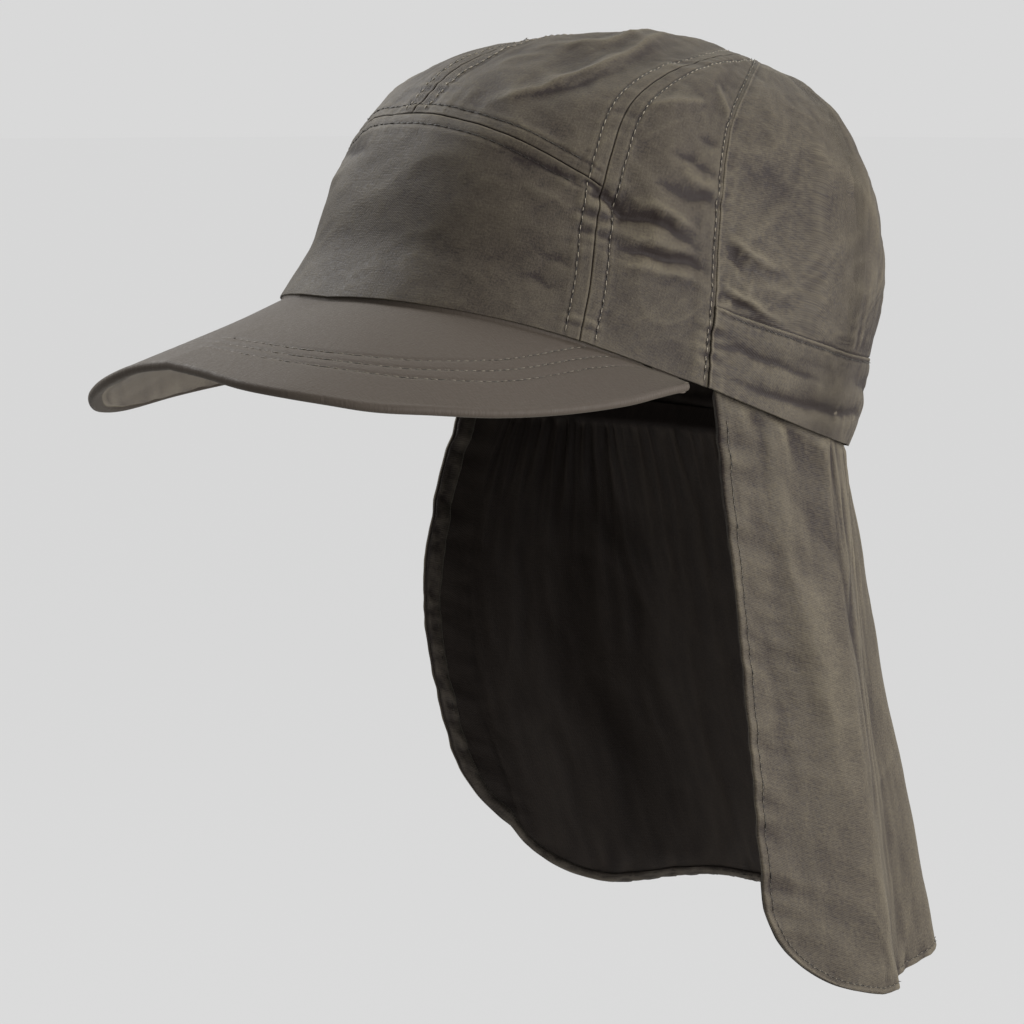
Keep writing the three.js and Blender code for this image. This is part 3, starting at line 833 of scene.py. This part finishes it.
def flap_relief(turn, drop):
    """Height of the cloth over the flap's smooth form: gathers, crinkles, creases and hem."""
    a = turn * TURN_LENGTH
    b = drop * FLAP_DROP
    height = FLAP_DROP * (1 - drop)
    from_left = (turn - flap_edge("left", height)) * TURN_LENGTH
    from_right = (flap_edge("right", height) - turn) * TURN_LENGTH
    from_edge = np.minimum(np.minimum(from_left, from_right), height)
    half_gather = noise(turn / (0.5 * FLAP_GATHER_TURN), drop * 5 + 30)
    gathers = noise(turn / FLAP_GATHER_TURN, drop * 2.5 + 9) + 0.5 * half_gather
    total = FLAP_GATHER * gathers * np.exp(-drop / FLAP_GATHER_FADE) * ease(drop, 0, 0.02)
    pleats = ridged(turn / FLAP_PLEAT_TURN + 0.6 * noise(b / 0.02), drop * 3 + 70)
    total = total + FLAP_PLEAT * pleats * np.exp(-drop / FLAP_PLEAT_FADE) * ease(drop, 0, 0.015)
    calm = 1 - CALM["depth"] * dip(turn - CALM["turn"], CALM["width"])
    deep, wide, long = FLAP_WAVES["wave"]
    total = total + deep * calm * noise(a / wide + 3 * noise(b / 0.05), b / long)
    deep, wide, long = FLAP_WAVES["ripple"]
    total = total + deep * calm * noise(a / wide, b / long + 50)
    deep, wide, long = FLAP_WAVES["streak"]
    total = total + deep * calm * ridged(a / wide + 2 * noise(b / 0.045 + 9), b / long + 20)
    deep, wide, long = FLAP_WAVES["fuzz"]
    total = total + deep * noise(a / wide + 20, b / long)
    flat = np.stack([a, b * 0.6, 0 * a], axis=-1)
    total = total + FLAP_CRUMPLE["height"] * crumple(flat, FLAP_CRUMPLE["size"])
    total = total + crease_relief(turn, drop, TURN_LENGTH, FLAP_DROP, FLAP_CREASES)
    aside = np.minimum(from_left, from_right) - height
    on_foot = ease(aside, -HEM_CORNER_BLEND, HEM_CORNER_BLEND)
    down = noise(b / HEM_PUCKER_LENGTH + 7, from_edge / 0.01)
    round_foot = noise(a / HEM_PUCKER_LENGTH, from_edge / 0.01)
    puckers = mix(down, round_foot, on_foot) * dip(from_edge, HEM_PUCKER_REACH)
    rise = 1 - ease(from_edge, HEM_WIDTH * 0.9, HEM_WIDTH * 1.2)
    total = total + HEM_PUCKER * puckers + HEM_RISE * rise
    return total - HEM_GROOVE * dip(from_edge - HEM_ROW, STITCH_GROOVE_WIDTH)


def flap_cloth(turn, drop, tuck, lift=0.0):
    """Points of the flap. Drop runs from the band, 0, to the hem, 1, and tuck up inside it."""
    root = flap_root(turn, FLAP_TUCK * tuck)
    left = turn < 180
    edge = np.where(left, FLAP_LEFT_TURN, FLAP_RIGHT_TURN)
    back = ease((np.abs(half_turn(turn)) - edge) / (180 - edge), 0, 0.8)
    sides = np.where(left, *(column(FLAP_SECTIONS, key, drop) for key in ("left", "right")))
    shift = mix(sides, column(FLAP_SECTIONS, "back", drop), back)
    wide = column(FLAP_SECTIONS, "wide", drop) * (1 - back) * np.sign(root[..., 0])
    height = flap_relief(turn, drop)
    out = flap_out(turn)
    hang = np.stack([wide * FLAP_DROP, shift * FLAP_DROP, -flap_length(turn) * drop], axis=-1)
    points = root + hang + out * (flap_fold(turn, drop) + height + lift)[..., None]
    return points, height, out


def flap_place(u, v):
    drop = 1 - np.minimum(1, v / FLAP_HANG) ** FLAP_CROWDING
    tuck = np.maximum(0, (v - FLAP_HANG) / (1 - FLAP_HANG))
    height = FLAP_DROP * (1 - drop)
    turn = mix(flap_edge("left", height), flap_edge("right", height), mix(u, crowd(u), 0.5))
    points, height, out = flap_cloth(turn, drop, tuck)
    measure = np.stack([turn * TURN_LENGTH, drop * -FLAP_DROP], axis=-1)
    return points, measure, np.clip(height / FLAP_RIDGE_FULL, -1, 1), out


# The flap's face is the same twill lightened, as painted light.
flap_face_painted_light = twill("flap_twill_face", BROWN, OLIVE, FLAP_PAINTED_LIGHT)
flap_shaded_reverse = twill("flap_twill_reverse", SHADED_REVERSE_BROWN, SHADED_REVERSE_OLIVE, sheen=0.02)
flap_piece = bent_grid("neck_flap_cloth", 280, 170, flap_place, [flap_face_painted_light, flap_shaded_reverse])
give_wall(flap_piece, CLOTH_WALL)
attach(flap_piece, "root")
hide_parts("neck_flap")


# The hem. A narrow strip of the flap's own twill, turned twice to the inside along its front
# edges and its foot, and held there by one row of stitches.
HEM_WALL = 0.0007
HEM_INSET = 0.0003
HEM_PUFF = 0.0005
HEM_RIPPLE = 0.0006
HEM_RIPPLE_LENGTH = 0.0042
HEM_OLIVE = (0.052, 0.043, 0.034)


def run_along(line):
    """How far along a line of points each one is."""
    return np.concatenate([[0], np.cumsum(length(np.diff(line, axis=0)))])


def hem_outline():
    """The flap's free edge as evenly spaced flat places, with the flat way inwards at each."""
    v = np.linspace(FLAP_HANG, 0, 160)
    height = FLAP_DROP * np.minimum(1, v / FLAP_HANG) ** FLAP_CROWDING
    left, right = (np.stack([flap_edge(key, height) * TURN_LENGTH, height], axis=-1)
                   for key in ("left", "right"))
    foot = np.linspace(left[-1], right[-1], 200)[1:-1]
    line = np.concatenate([left, foot, right[::-1]])
    run = run_along(line)
    even = np.linspace(0, run[-1], 700)
    line = np.stack([np.interp(even, run, line[:, axis]) for axis in range(2)], axis=-1)
    way = unit(np.gradient(line, axis=0))
    return line, np.stack([-way[:, 1], way[:, 0]], axis=-1), run[-1]


edge_line, edge_inwards, edge_length = hem_outline()


def on_hem(along, inwards):
    """The turn and drop of a point at a share along the free edge and a distance in from it."""
    at = along * (len(edge_line) - 1)
    places = [np.interp(at, np.arange(len(edge_line)), table[:, axis])
              for table in (edge_line, edge_inwards) for axis in range(2)]
    a = places[0] + places[2] * inwards
    height = places[1] + places[3] * inwards
    return a / TURN_LENGTH, np.clip(1 - height / FLAP_DROP, 0, 1)


def hem_place(u, v):
    turn, drop = on_hem(u, v * HEM_WIDTH + HEM_INSET)
    ripple = noise(u * edge_length / HEM_RIPPLE_LENGTH, v * 1.5)
    puffed = HEM_PUFF * (1 - (2 * v - 1) ** 4) + HEM_RIPPLE * ripple
    points, height, out = flap_cloth(turn, drop, 0 * drop, -CLOTH_WALL - puffed)
    measure = np.stack([u * edge_length, v * HEM_WIDTH], axis=-1)
    # The ripple also sets the hem's tone: lighter on its puffs and darker between, as painted light
    # and shade.
    return points, measure, np.clip(ripple * 2, -1, 1), -out


# The hem's low colour is the reverse's, darkened partly as painted shade.
hem_cloth = twill("flap_hem_twill", SHADED_REVERSE_BROWN, HEM_OLIVE, sheen=0.1)
hem_piece = bent_grid("flap_hem", 620, 8, hem_place, [hem_cloth, hem_cloth])
give_wall(hem_piece, HEM_WALL)
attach(hem_piece, "root")

# The peak. A stiff curved board covered in the same twill, which wraps round its edge and is
# sewn to the front of the opening. Three rows of stitches go round it, inside its edge.
PEAK_CORNER_TURN = 67
PEAK_HALF_WIDTH = 0.0815
PEAK_REACH = 0.055
PEAK_DROP = 0.039
PEAK_ROLL = 0.0015
PEAK_INSET = 0.0012
PEAK_ROOT_DEPTH = 0.0012
PEAK_GAP = 0.0003
PEAK_SOFT = {"height": 0.0005, "size": 0.03}
PEAK_GROOVE = 0.00045
PEAK_GROOVE_WIDTH = 0.0005
PEAK_PAINTED_LIGHT = 0.08
PEAK_RIBS = 0.3
PEAK_EDGE = [
    {"across": 0.0, "reach": 1.0, "left": 0.92, "right": 0.92},
    {"across": 0.2, "reach": 0.995, "left": 0.96, "right": 0.97},
    {"across": 0.39, "reach": 0.98, "left": 1.01, "right": 1.08},
    {"across": 0.55, "reach": 0.94, "left": 1.02, "right": 1.17},
    {"across": 0.675, "reach": 0.88, "left": 1.01, "right": 1.22},
    {"across": 0.775, "reach": 0.81, "left": 0.99, "right": 1.21},
    {"across": 0.86, "reach": 0.71, "left": 0.92, "right": 1.12},
    {"across": 0.935, "reach": 0.55, "left": 0.8, "right": 0.88},
    {"across": 0.98, "reach": 0.385, "left": 0.63, "right": 0.64},
    {"across": 1.0, "reach": 0.22, "left": 0.42, "right": 0.42},
    {"across": 0.98, "reach": 0.1, "left": 0.24, "right": 0.24},
    {"across": 0.935, "reach": 0.0, "left": 0.1, "right": 0.1},
]
# The rows of stitches are rounded arcs, given by half their width and their reach at the tip.
PEAK_ROWS = [(0.0620, 0.1465), (0.0655, 0.1505), (0.0690, 0.1545)]
PEAK_ROW_BACK = 0.075
PEAK_ROW_ROUNDNESS = 2.35
PEAK_SECTION = {"top": 0.44, "edge": 0.52, "under": 0.96}
UNDER_FROM = 0.54
UNDER_SEAM = {"share": 0.055, "depth": 0.0006, "width": 0.0006}
UNDER_FOLD = {"height": 0.0011, "width": 0.0045, "length": 0.05, "fade": 0.35}
# How much darker the rolled edge is drawn, as painted shade.
EDGE_SHADE = 3.2
ROOT_LIFT = 0.0012
# The peak's colours are its twill lightened, as painted light.
PEAK_BROWN_PAINTED_LIGHT = (0.0400, 0.0315, 0.0245)
PEAK_OLIVE_PAINTED_LIGHT = (0.1480, 0.1290, 0.0930)
# The underside is lighter still, as painted light bounced up from below.
PEAK_UNDER_BROWN_PAINTED_LIGHT = (0.048, 0.037, 0.030)
PEAK_UNDER_OLIVE_PAINTED_LIGHT = (0.150, 0.128, 0.098)


def untilt(points):
    """Points back in the crown's own frame, where the opening is level."""
    x, y, z = parts(points)
    back = y * math.cos(RIM_TILT) - z * math.sin(RIM_TILT)
    up = z * math.cos(RIM_TILT) + y * math.sin(RIM_TILT)
    return x, back, up


def peak_top(u, v):
    """A point of the board's top face: u runs across it, and v from its edge to the crown."""
    side = 2 * u - 1
    turn = PEAK_CORNER_TURN * side
    rim = np.zeros_like(turn)
    root = untilt(smooth_crown(turn, rim) - PEAK_ROOT_DEPTH * crown_normal(turn, rim))
    corner = untilt(smooth_crown(np.array([float(PEAK_CORNER_TURN)]), np.zeros(1)))[1]
    out = np.abs(side)
    drop = np.where(side > 0, *(column(PEAK_EDGE, key, out) for key in ("left", "right")))
    edge = (
        PEAK_HALF_WIDTH * column(PEAK_EDGE, "across", out) * np.sign(side),
        corner - (FRONT_DEPTH + corner + PEAK_REACH) * column(PEAK_EDGE, "reach", out),
        -PEAK_DROP * drop,
    )
    return tilted(*(mix(e, r, v) for e, r in zip(edge, (root[0], root[1], root[2] - PEAK_GAP))))


def peak_frame(u, v):
    """The board's top face with its upward normal and its outward way, for any u and v."""
    step = 0.01
    near_u = np.clip(u, step, 1 - step)
    near_v = np.clip(v, step, 1 - step)
    across = peak_top(near_u + step, near_v) - peak_top(near_u - step, near_v)
    inwards = peak_top(near_u, near_v + step) - peak_top(near_u, near_v - step)
    up = unit(np.cross(across, inwards))
    return peak_top(u, v), up, unit(np.cross(across, up))


def peak_row(reach, u):
    """How far in from the edge a row of stitches runs, found by halving for each u."""
    width, tip = reach
    low = np.zeros_like(u)
    high = np.ones_like(u)
    for _ in range(24):
        middle = (low + high) / 2
        x, y, _ = untilt(peak_top(u, middle))
        ahead = np.maximum(0, -y - PEAK_ROW_BACK) / (tip - PEAK_ROW_BACK)
        outside = (np.abs(x) / width) ** PEAK_ROW_ROUNDNESS + ahead**PEAK_ROW_ROUNDNESS > 1
        low = np.where(outside, middle, low)
        high = np.where(outside, high, middle)
    return (low + high) / 2


def peak_place(u, w):
    """The board's whole section: over its top, round its edge, back under it and up its root."""
    top, edge, under = PEAK_SECTION["top"], PEAK_SECTION["edge"], PEAK_SECTION["under"]
    v = np.where(w < top, 1 - w / top, np.clip((w - edge) / (under - edge), 0, 1))
    v = np.where((w >= top) & (w <= edge), 0.0, v)
    point, up, out = peak_frame(u, v)
    turn = np.pi * np.clip((w - top) / (edge - top), 0, 1)
    depth = PEAK_ROLL * (1 - np.cos(turn))
    depth = depth * (1 - np.clip((w - under) / (1 - under), 0, 1))
    bulge = PEAK_ROLL * np.sin(turn) - PEAK_INSET * np.exp(-v / 0.05)
    across = np.linspace(0, 1, 400)
    rows = [np.interp(u, across, peak_row(row, across)) for row in PEAK_ROWS]
    grooves = sum(dip((v - row) * PEAK_REACH, PEAK_GROOVE_WIDTH) for row in rows)
    on_top = (w < top) * ease(v, 0.0, 0.04)
    soft = PEAK_SOFT["height"] * noise(*parts(point, PEAK_SOFT["size"]))
    seam = dip((v - UNDER_SEAM["share"]) * PEAK_REACH, UNDER_SEAM["width"]) * (w > edge)
    x, y, _ = parts(point)
    fold = noise((x * 0.8 + y) / UNDER_FOLD["width"], x / UNDER_FOLD["length"]) * (w > edge)
    fold = fold * np.exp(-v / UNDER_FOLD["fade"])
    under_way = np.where(w > edge, -1.0, 1.0)
    below = UNDER_FOLD["height"] * fold - UNDER_SEAM["depth"] * seam
    height = (soft - PEAK_GROOVE * grooves) * on_top + below * ease(v, 0, 0.05)
    point = point + out * bulge[..., None] - up * depth[..., None]
    point = point + up * (under_way * height + ROOT_LIFT * ease(v, 0.988, 1))[..., None]
    # The rolled edge gets a much lower tone: painted shade.
    rolled = (w >= top) & (w <= UNDER_FROM)
    return point, point[..., :2], np.tanh(height / RIDGE_FULL) - EDGE_SHADE * rolled, up


# Both peak materials are also lifted, as painted light.
peak_cloth_painted_light, under_cloth_painted_light = (
    twill(name, brown, olive, PEAK_PAINTED_LIGHT, ribs_depth=PEAK_RIBS)
    for name, brown, olive in (("peak_twill", PEAK_BROWN_PAINTED_LIGHT, PEAK_OLIVE_PAINTED_LIGHT),
                               ("peak_twill_under", PEAK_UNDER_BROWN_PAINTED_LIGHT, PEAK_UNDER_OLIVE_PAINTED_LIGHT))
)
PEAK_COLUMNS, PEAK_LINES = 250, 190
peak_piece = bent_grid("peak_cover", PEAK_COLUMNS, PEAK_LINES, peak_place,
                       [peak_cloth_painted_light, under_cloth_painted_light])
peak_form = bmesh.new()
peak_form.from_mesh(peak_piece.data)
for face in peak_form.faces:
    row = min(vert.index for vert in face.verts) // (PEAK_COLUMNS + 1)
    face.material_index = int(row > UNDER_FROM * PEAK_LINES)
bmesh.ops.remove_doubles(peak_form, verts=peak_form.verts, dist=0.00001)
open_edges = [edge for edge in peak_form.edges if edge.is_boundary]
bmesh.ops.holes_fill(peak_form, edges=open_edges, sides=0)
bmesh.ops.recalc_face_normals(peak_form, faces=peak_form.faces)
peak_form.to_mesh(peak_piece.data)
peak_form.free()
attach(peak_piece, "root")
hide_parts("peak")

# The stitching. Pale thread in lockstitch rows beside the seams: each stitch is a short dash
# that lies proud of the cloth, and between two of them it dips into a needle hole, which is a
# near-black dash of painted shade.
STITCH_PITCH = 0.0029
STITCH_LENGTH = 0.0022
STITCH_WIDTH = 0.00038
STITCH_HEIGHT = 0.00036
HOLE_LENGTH = 0.0010
HOLE_WIDTH = 0.00042
HOLE_DEPTH = 0.00016
STITCH_PROUD = 0.00012
STITCH_SWAY = 0.00008
STITCH_STRETCH = 0.12
STITCH_AHEAD = 0.0004
STITCH_FACES = {"u_segments": 6, "v_segments": 4}
NARROW = 0.8
LONG_ROWS = (0.012, 0.94)
ROW_TOP = 0.93
CENTRE_START = 0.008
NAPE_START = 0.02
FRONT_TOP_TURN = 41
BAND_START = 72
PEAK_ROW_ENDS = (0.05, 0.95)
PEAK_ROW_TOP = 0.985
PEAK_ROW_DEPTH = 0.0004
HEM_ROW_ENDS = (0.012, 0.988)
HEM_ROW_GAP = 0.0003
THREAD_PALE = (0.23, 0.20, 0.155)
THREAD_DULL = (0.105, 0.09, 0.07)
# The next two colours are painted shade: thread darkened for stitches lying in shade, and
# near-black for the shade inside needle holes.
THREAD_PAINTED_SHADE = (0.022, 0.018, 0.015)
HOLE_PAINTED_SHADE = (0.006, 0.005, 0.005)


def thread_material(name, colour):
    material, shader, wire = start_material(name, 0.5, 0.2)
    place = wire.node("ShaderNodeTexCoord", {}, {}, 3)
    twist = place.noise(2600.0, 2.0) - 0.5
    (twist * 2.0 + 0.6).blend([0.55 * part for part in colour], colour).to(shader, "Base Color")
    bump = {"Strength": 0.5, "Distance": 0.0001, "Height": twist}
    wire.node("ShaderNodeBump", {}, bump).to(shader, "Normal")
    return material


pale_thread = thread_material("thread_pale", THREAD_PALE)
dull_thread = thread_material("thread_dull", THREAD_DULL)
shaded_thread = thread_material("thread_painted_shade", THREAD_PAINTED_SHADE)
needle_hole_painted_shade = thread_material("needle_hole_painted_shade", HOLE_PAINTED_SHADE)


def stitch_form():
    """One stitch of unit size: a dash of thread and, one unit ahead of it, its needle hole, a dark
    dash that paints the hole's shade.
    """
    form = bmesh.new()
    for number in range(2):
        place = Matrix.Translation((number, 0, 0))
        made = bmesh.ops.create_uvsphere(form, **STITCH_FACES, radius=0.5, matrix=place)
        for face in {face for vert in made["verts"] for face in vert.link_faces}:
            face.material_index = number
            face.smooth = True
    mesh = bpy.data.meshes.new("stitch")
    form.to_mesh(mesh)
    form.free()
    return mesh


one_stitch = stitch_form()


def stitch_row(name, points, normals, thread, width=1.0):
    """One row of stitches along a line of points, as a piece of its own."""
    run = run_along(points)
    count = int(run[-1] / STITCH_PITCH)
    form = bmesh.new()
    for _ in range(count):
        form.from_mesh(one_stitch)
    form.verts.ensure_lookup_table()
    half = len(one_stitch.vertices) // 2
    for number in range(2 * count):
        at = (number + 0.5) * STITCH_PITCH / 2
        middle, ahead, up = (
            Vector([np.interp(at + step, run, table[:, axis]) for axis in range(3)])
            for table, step in ((points, 0), (points, STITCH_AHEAD), (normals, 0))
        )
        along = (ahead - middle).normalized()
        aside = up.cross(along).normalized()
        up = along.cross(aside)
        is_hole = number % 2
        if is_hole:
            size = (HOLE_LENGTH, HOLE_WIDTH * width, HOLE_DEPTH)
            centre = middle
        else:
            stretch = 1 + STITCH_STRETCH * math.sin(3.7 * number)
            size = (STITCH_LENGTH * stretch, STITCH_WIDTH * width, STITCH_HEIGHT)
            centre = middle + up * STITCH_PROUD + aside * STITCH_SWAY * math.sin(7.3 * number)
        for vert in form.verts[number * half:(number + 1) * half]:
            x, y, z = vert.co
            offset = along * size[0] * (x - is_hole) + aside * size[1] * y + up * size[2] * z
            vert.co = centre + offset
    mesh = bpy.data.meshes.new(name)
    form.to_mesh(mesh)
    form.free()
    mesh.materials.append(thread)
    mesh.materials.append(needle_hole_painted_shade)
    row = bpy.data.objects.new(name, mesh)
    scene.collection.objects.link(row)
    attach(row, "root")


def beside(key, share, distance):
    """Turns at a distance from a long seam, square to it, on the cap's left."""
    turn = column(SEAMS, key, share)
    width, depth = (length(way) for way in slopes(turn, share))
    return turn + distance / (width * slant_share(key, share, width, depth))


def crown_row(name, turn, share, thread=pale_thread, width=1.0, lift=0.0):
    points, _ = crown_cloth(turn, share, lift)
    stitch_row(name, points, crown_normal(turn, share), thread, width)


def cross_row(name, turn, seam, distance, lift=0.0):
    """A row of stitches beside a cross seam, which is a function of the turn, in thread darkened as
    painted shade.
    """
    depth = length(slopes(turn, seam(turn))[1])
    crown_row(name, turn, seam(turn) + distance / depth, shaded_thread, NARROW, lift)


long_share = np.linspace(*LONG_ROWS, 400)
for word, sign in (("left", 1), ("right", -1)):
    for name, distance in (("inner", -OPEN_SEAM_ROW), ("outer", OPEN_SEAM_ROW)):
        turn = sign * beside("front", long_share, distance)
        crown_row("front_seam_stitches_" + name + "_" + word, turn, long_share)
    turn = sign * beside("side", long_share, -LAP_SEAM_ROW)
    crown_row("side_seam_stitches_" + word, turn, long_share)
    for name, seam, start in (("centre", 0, FRONT_TOP_CENTRE + CENTRE_START),
                              ("nape", 180, BAND_TOP_NAPE + NAPE_START)):
        share = mix(start, ROW_TOP, np.linspace(0, 1, 300))
        around = length(slopes(np.full_like(share, float(seam)), share)[0])
        turn = seam + sign * OPEN_SEAM_ROW / around
        crown_row(name + "_seam_stitches_" + word, turn, share)

turn = np.linspace(-FRONT_TOP_TURN, FRONT_TOP_TURN, 300)
cross_row("front_top_stitches_above", turn, front_top, TOP_SEAM_ROW)
cross_row("front_top_stitches_below", turn, front_top, -TOP_SEAM_ROW)
turn = np.linspace(BAND_START, 360 - BAND_START, 600)
cross_row("band_stitches", turn, band_top, -BAND_ROW, BAND_LIFT)

for number, reach in enumerate(PEAK_ROWS):
    u = np.linspace(*PEAK_ROW_ENDS, 1000)
    v = peak_row(reach, u)
    kept = v < PEAK_ROW_TOP
    points, normals, _ = peak_frame(u[kept], v[kept])
    grooved = points - normals * PEAK_ROW_DEPTH
    name = "peak_stitches_" + str(number + 1)
    stitch_row(name, grooved, normals, dull_thread, NARROW)

along = np.linspace(*HEM_ROW_ENDS, 900)
hem_turn, hem_drop = on_hem(along, np.full_like(along, HEM_ROW))
points, _, out = flap_cloth(hem_turn, hem_drop, 0 * hem_drop)
stitch_row("flap_hem_stitches", points, out, dull_thread, NARROW)
inside = -CLOTH_WALL - HEM_WALL - HEM_ROW_GAP
points, _, out = flap_cloth(hem_turn, hem_drop, 0 * hem_drop, inside)
stitch_row("flap_hem_stitches_inside", points, -out, shaded_thread, NARROW)

# The camera. A long lens looks at the cap from its front left and from a little above the
# opening, as the photograph does.
VIEW_TURN = math.radians(46)
VIEW_RISE = math.radians(7)
VIEW_DISTANCE = 1.095
VIEW_TARGET = Vector((-0.0318, 0, -0.047))
SENSOR_MM = 36
LENS_MM = 114


def from_target(turn, rise, distance):
    """A point at a distance from the target, turned from the front towards the left."""
    flat = math.cos(rise)
    way = Vector((math.sin(turn) * flat, -math.cos(turn) * flat, math.sin(rise)))
    return VIEW_TARGET + distance * way


def aim(thing, place):
    thing.location = place
    thing.rotation_euler = (VIEW_TARGET - place).to_track_quat("-Z", "Y").to_euler()
    scene.collection.objects.link(thing)


camera = bpy.data.objects.new("camera", bpy.data.cameras.new("camera"))
camera.data.sensor_width = SENSOR_MM
camera.data.lens = LENS_MM
camera.data.clip_start = 0.05
aim(camera, from_target(VIEW_TURN, VIEW_RISE, VIEW_DISTANCE))
bpy.context.scene.camera = camera

# The studio. A pale floor far below the hem and a pale surround of the same grey, with four
# large soft boxes: one low on the camera's right, two behind and one high on its left.
SURROUND_GREY = 0.694
FLOOR_HEIGHT = -0.46
FLOOR_HALF = 60.0
FLOOR_GREY = 0.02
FLOOR_GLOW = 0.667
SOFT_BOX_DISTANCE = 1.5
SOFT_BOX_SIZE = 0.9
SOFT_BOXES = [
    {"name": "box_right", "turn": 107, "rise": 2, "power": 40},
    {"name": "box_back_right", "turn": 145, "rise": 12, "power": 8},
    {"name": "box_back_above", "turn": 150, "rise": 60, "power": 9},
    {"name": "box_left_above", "turn": -78, "rise": 47, "power": 36},
]

scene.view_settings.view_transform = "Standard"
surround = bpy.data.worlds.new("surround")
surround.use_nodes = True
backdrop = surround.node_tree.nodes["Background"]
backdrop.inputs["Color"].default_value = (SURROUND_GREY,) * 3 + (1,)
scene.world = surround

for soft_box in SOFT_BOXES:
    lamp = bpy.data.lights.new(soft_box["name"], "AREA")
    lamp.size = SOFT_BOX_SIZE
    lamp.energy = soft_box["power"]
    turn, rise = math.radians(soft_box["turn"]), math.radians(soft_box["rise"])
    aim(bpy.data.objects.new(soft_box["name"], lamp), from_target(turn, rise, SOFT_BOX_DISTANCE))

floor_form = bmesh.new()
bmesh.ops.create_grid(floor_form, x_segments=1, y_segments=1, size=FLOOR_HALF)
bmesh.ops.translate(floor_form, verts=floor_form.verts, vec=(0, 0, FLOOR_HEIGHT))
floor_mesh = bpy.data.meshes.new("floor")
floor_form.to_mesh(floor_mesh)
floor_form.free()
floor = bpy.data.objects.new("floor", floor_mesh)
scene.collection.objects.link(floor)
floor_paint = bpy.data.materials.new("pale_floor")
floor_paint.use_nodes = True
floor_shader = floor_paint.node_tree.nodes["Principled BSDF"]
floor_shader.inputs["Base Color"].default_value = (FLOOR_GREY,) * 3 + (1,)
floor_shader.inputs["Roughness"].default_value = 0.9
floor_shader.inputs["Specular IOR Level"].default_value = 0
floor_shader.inputs["Emission Color"].default_value = (1, 1, 1, 1)
floor_shader.inputs["Emission Strength"].default_value = FLOOR_GLOW
floor_mesh.materials.append(floor_paint)
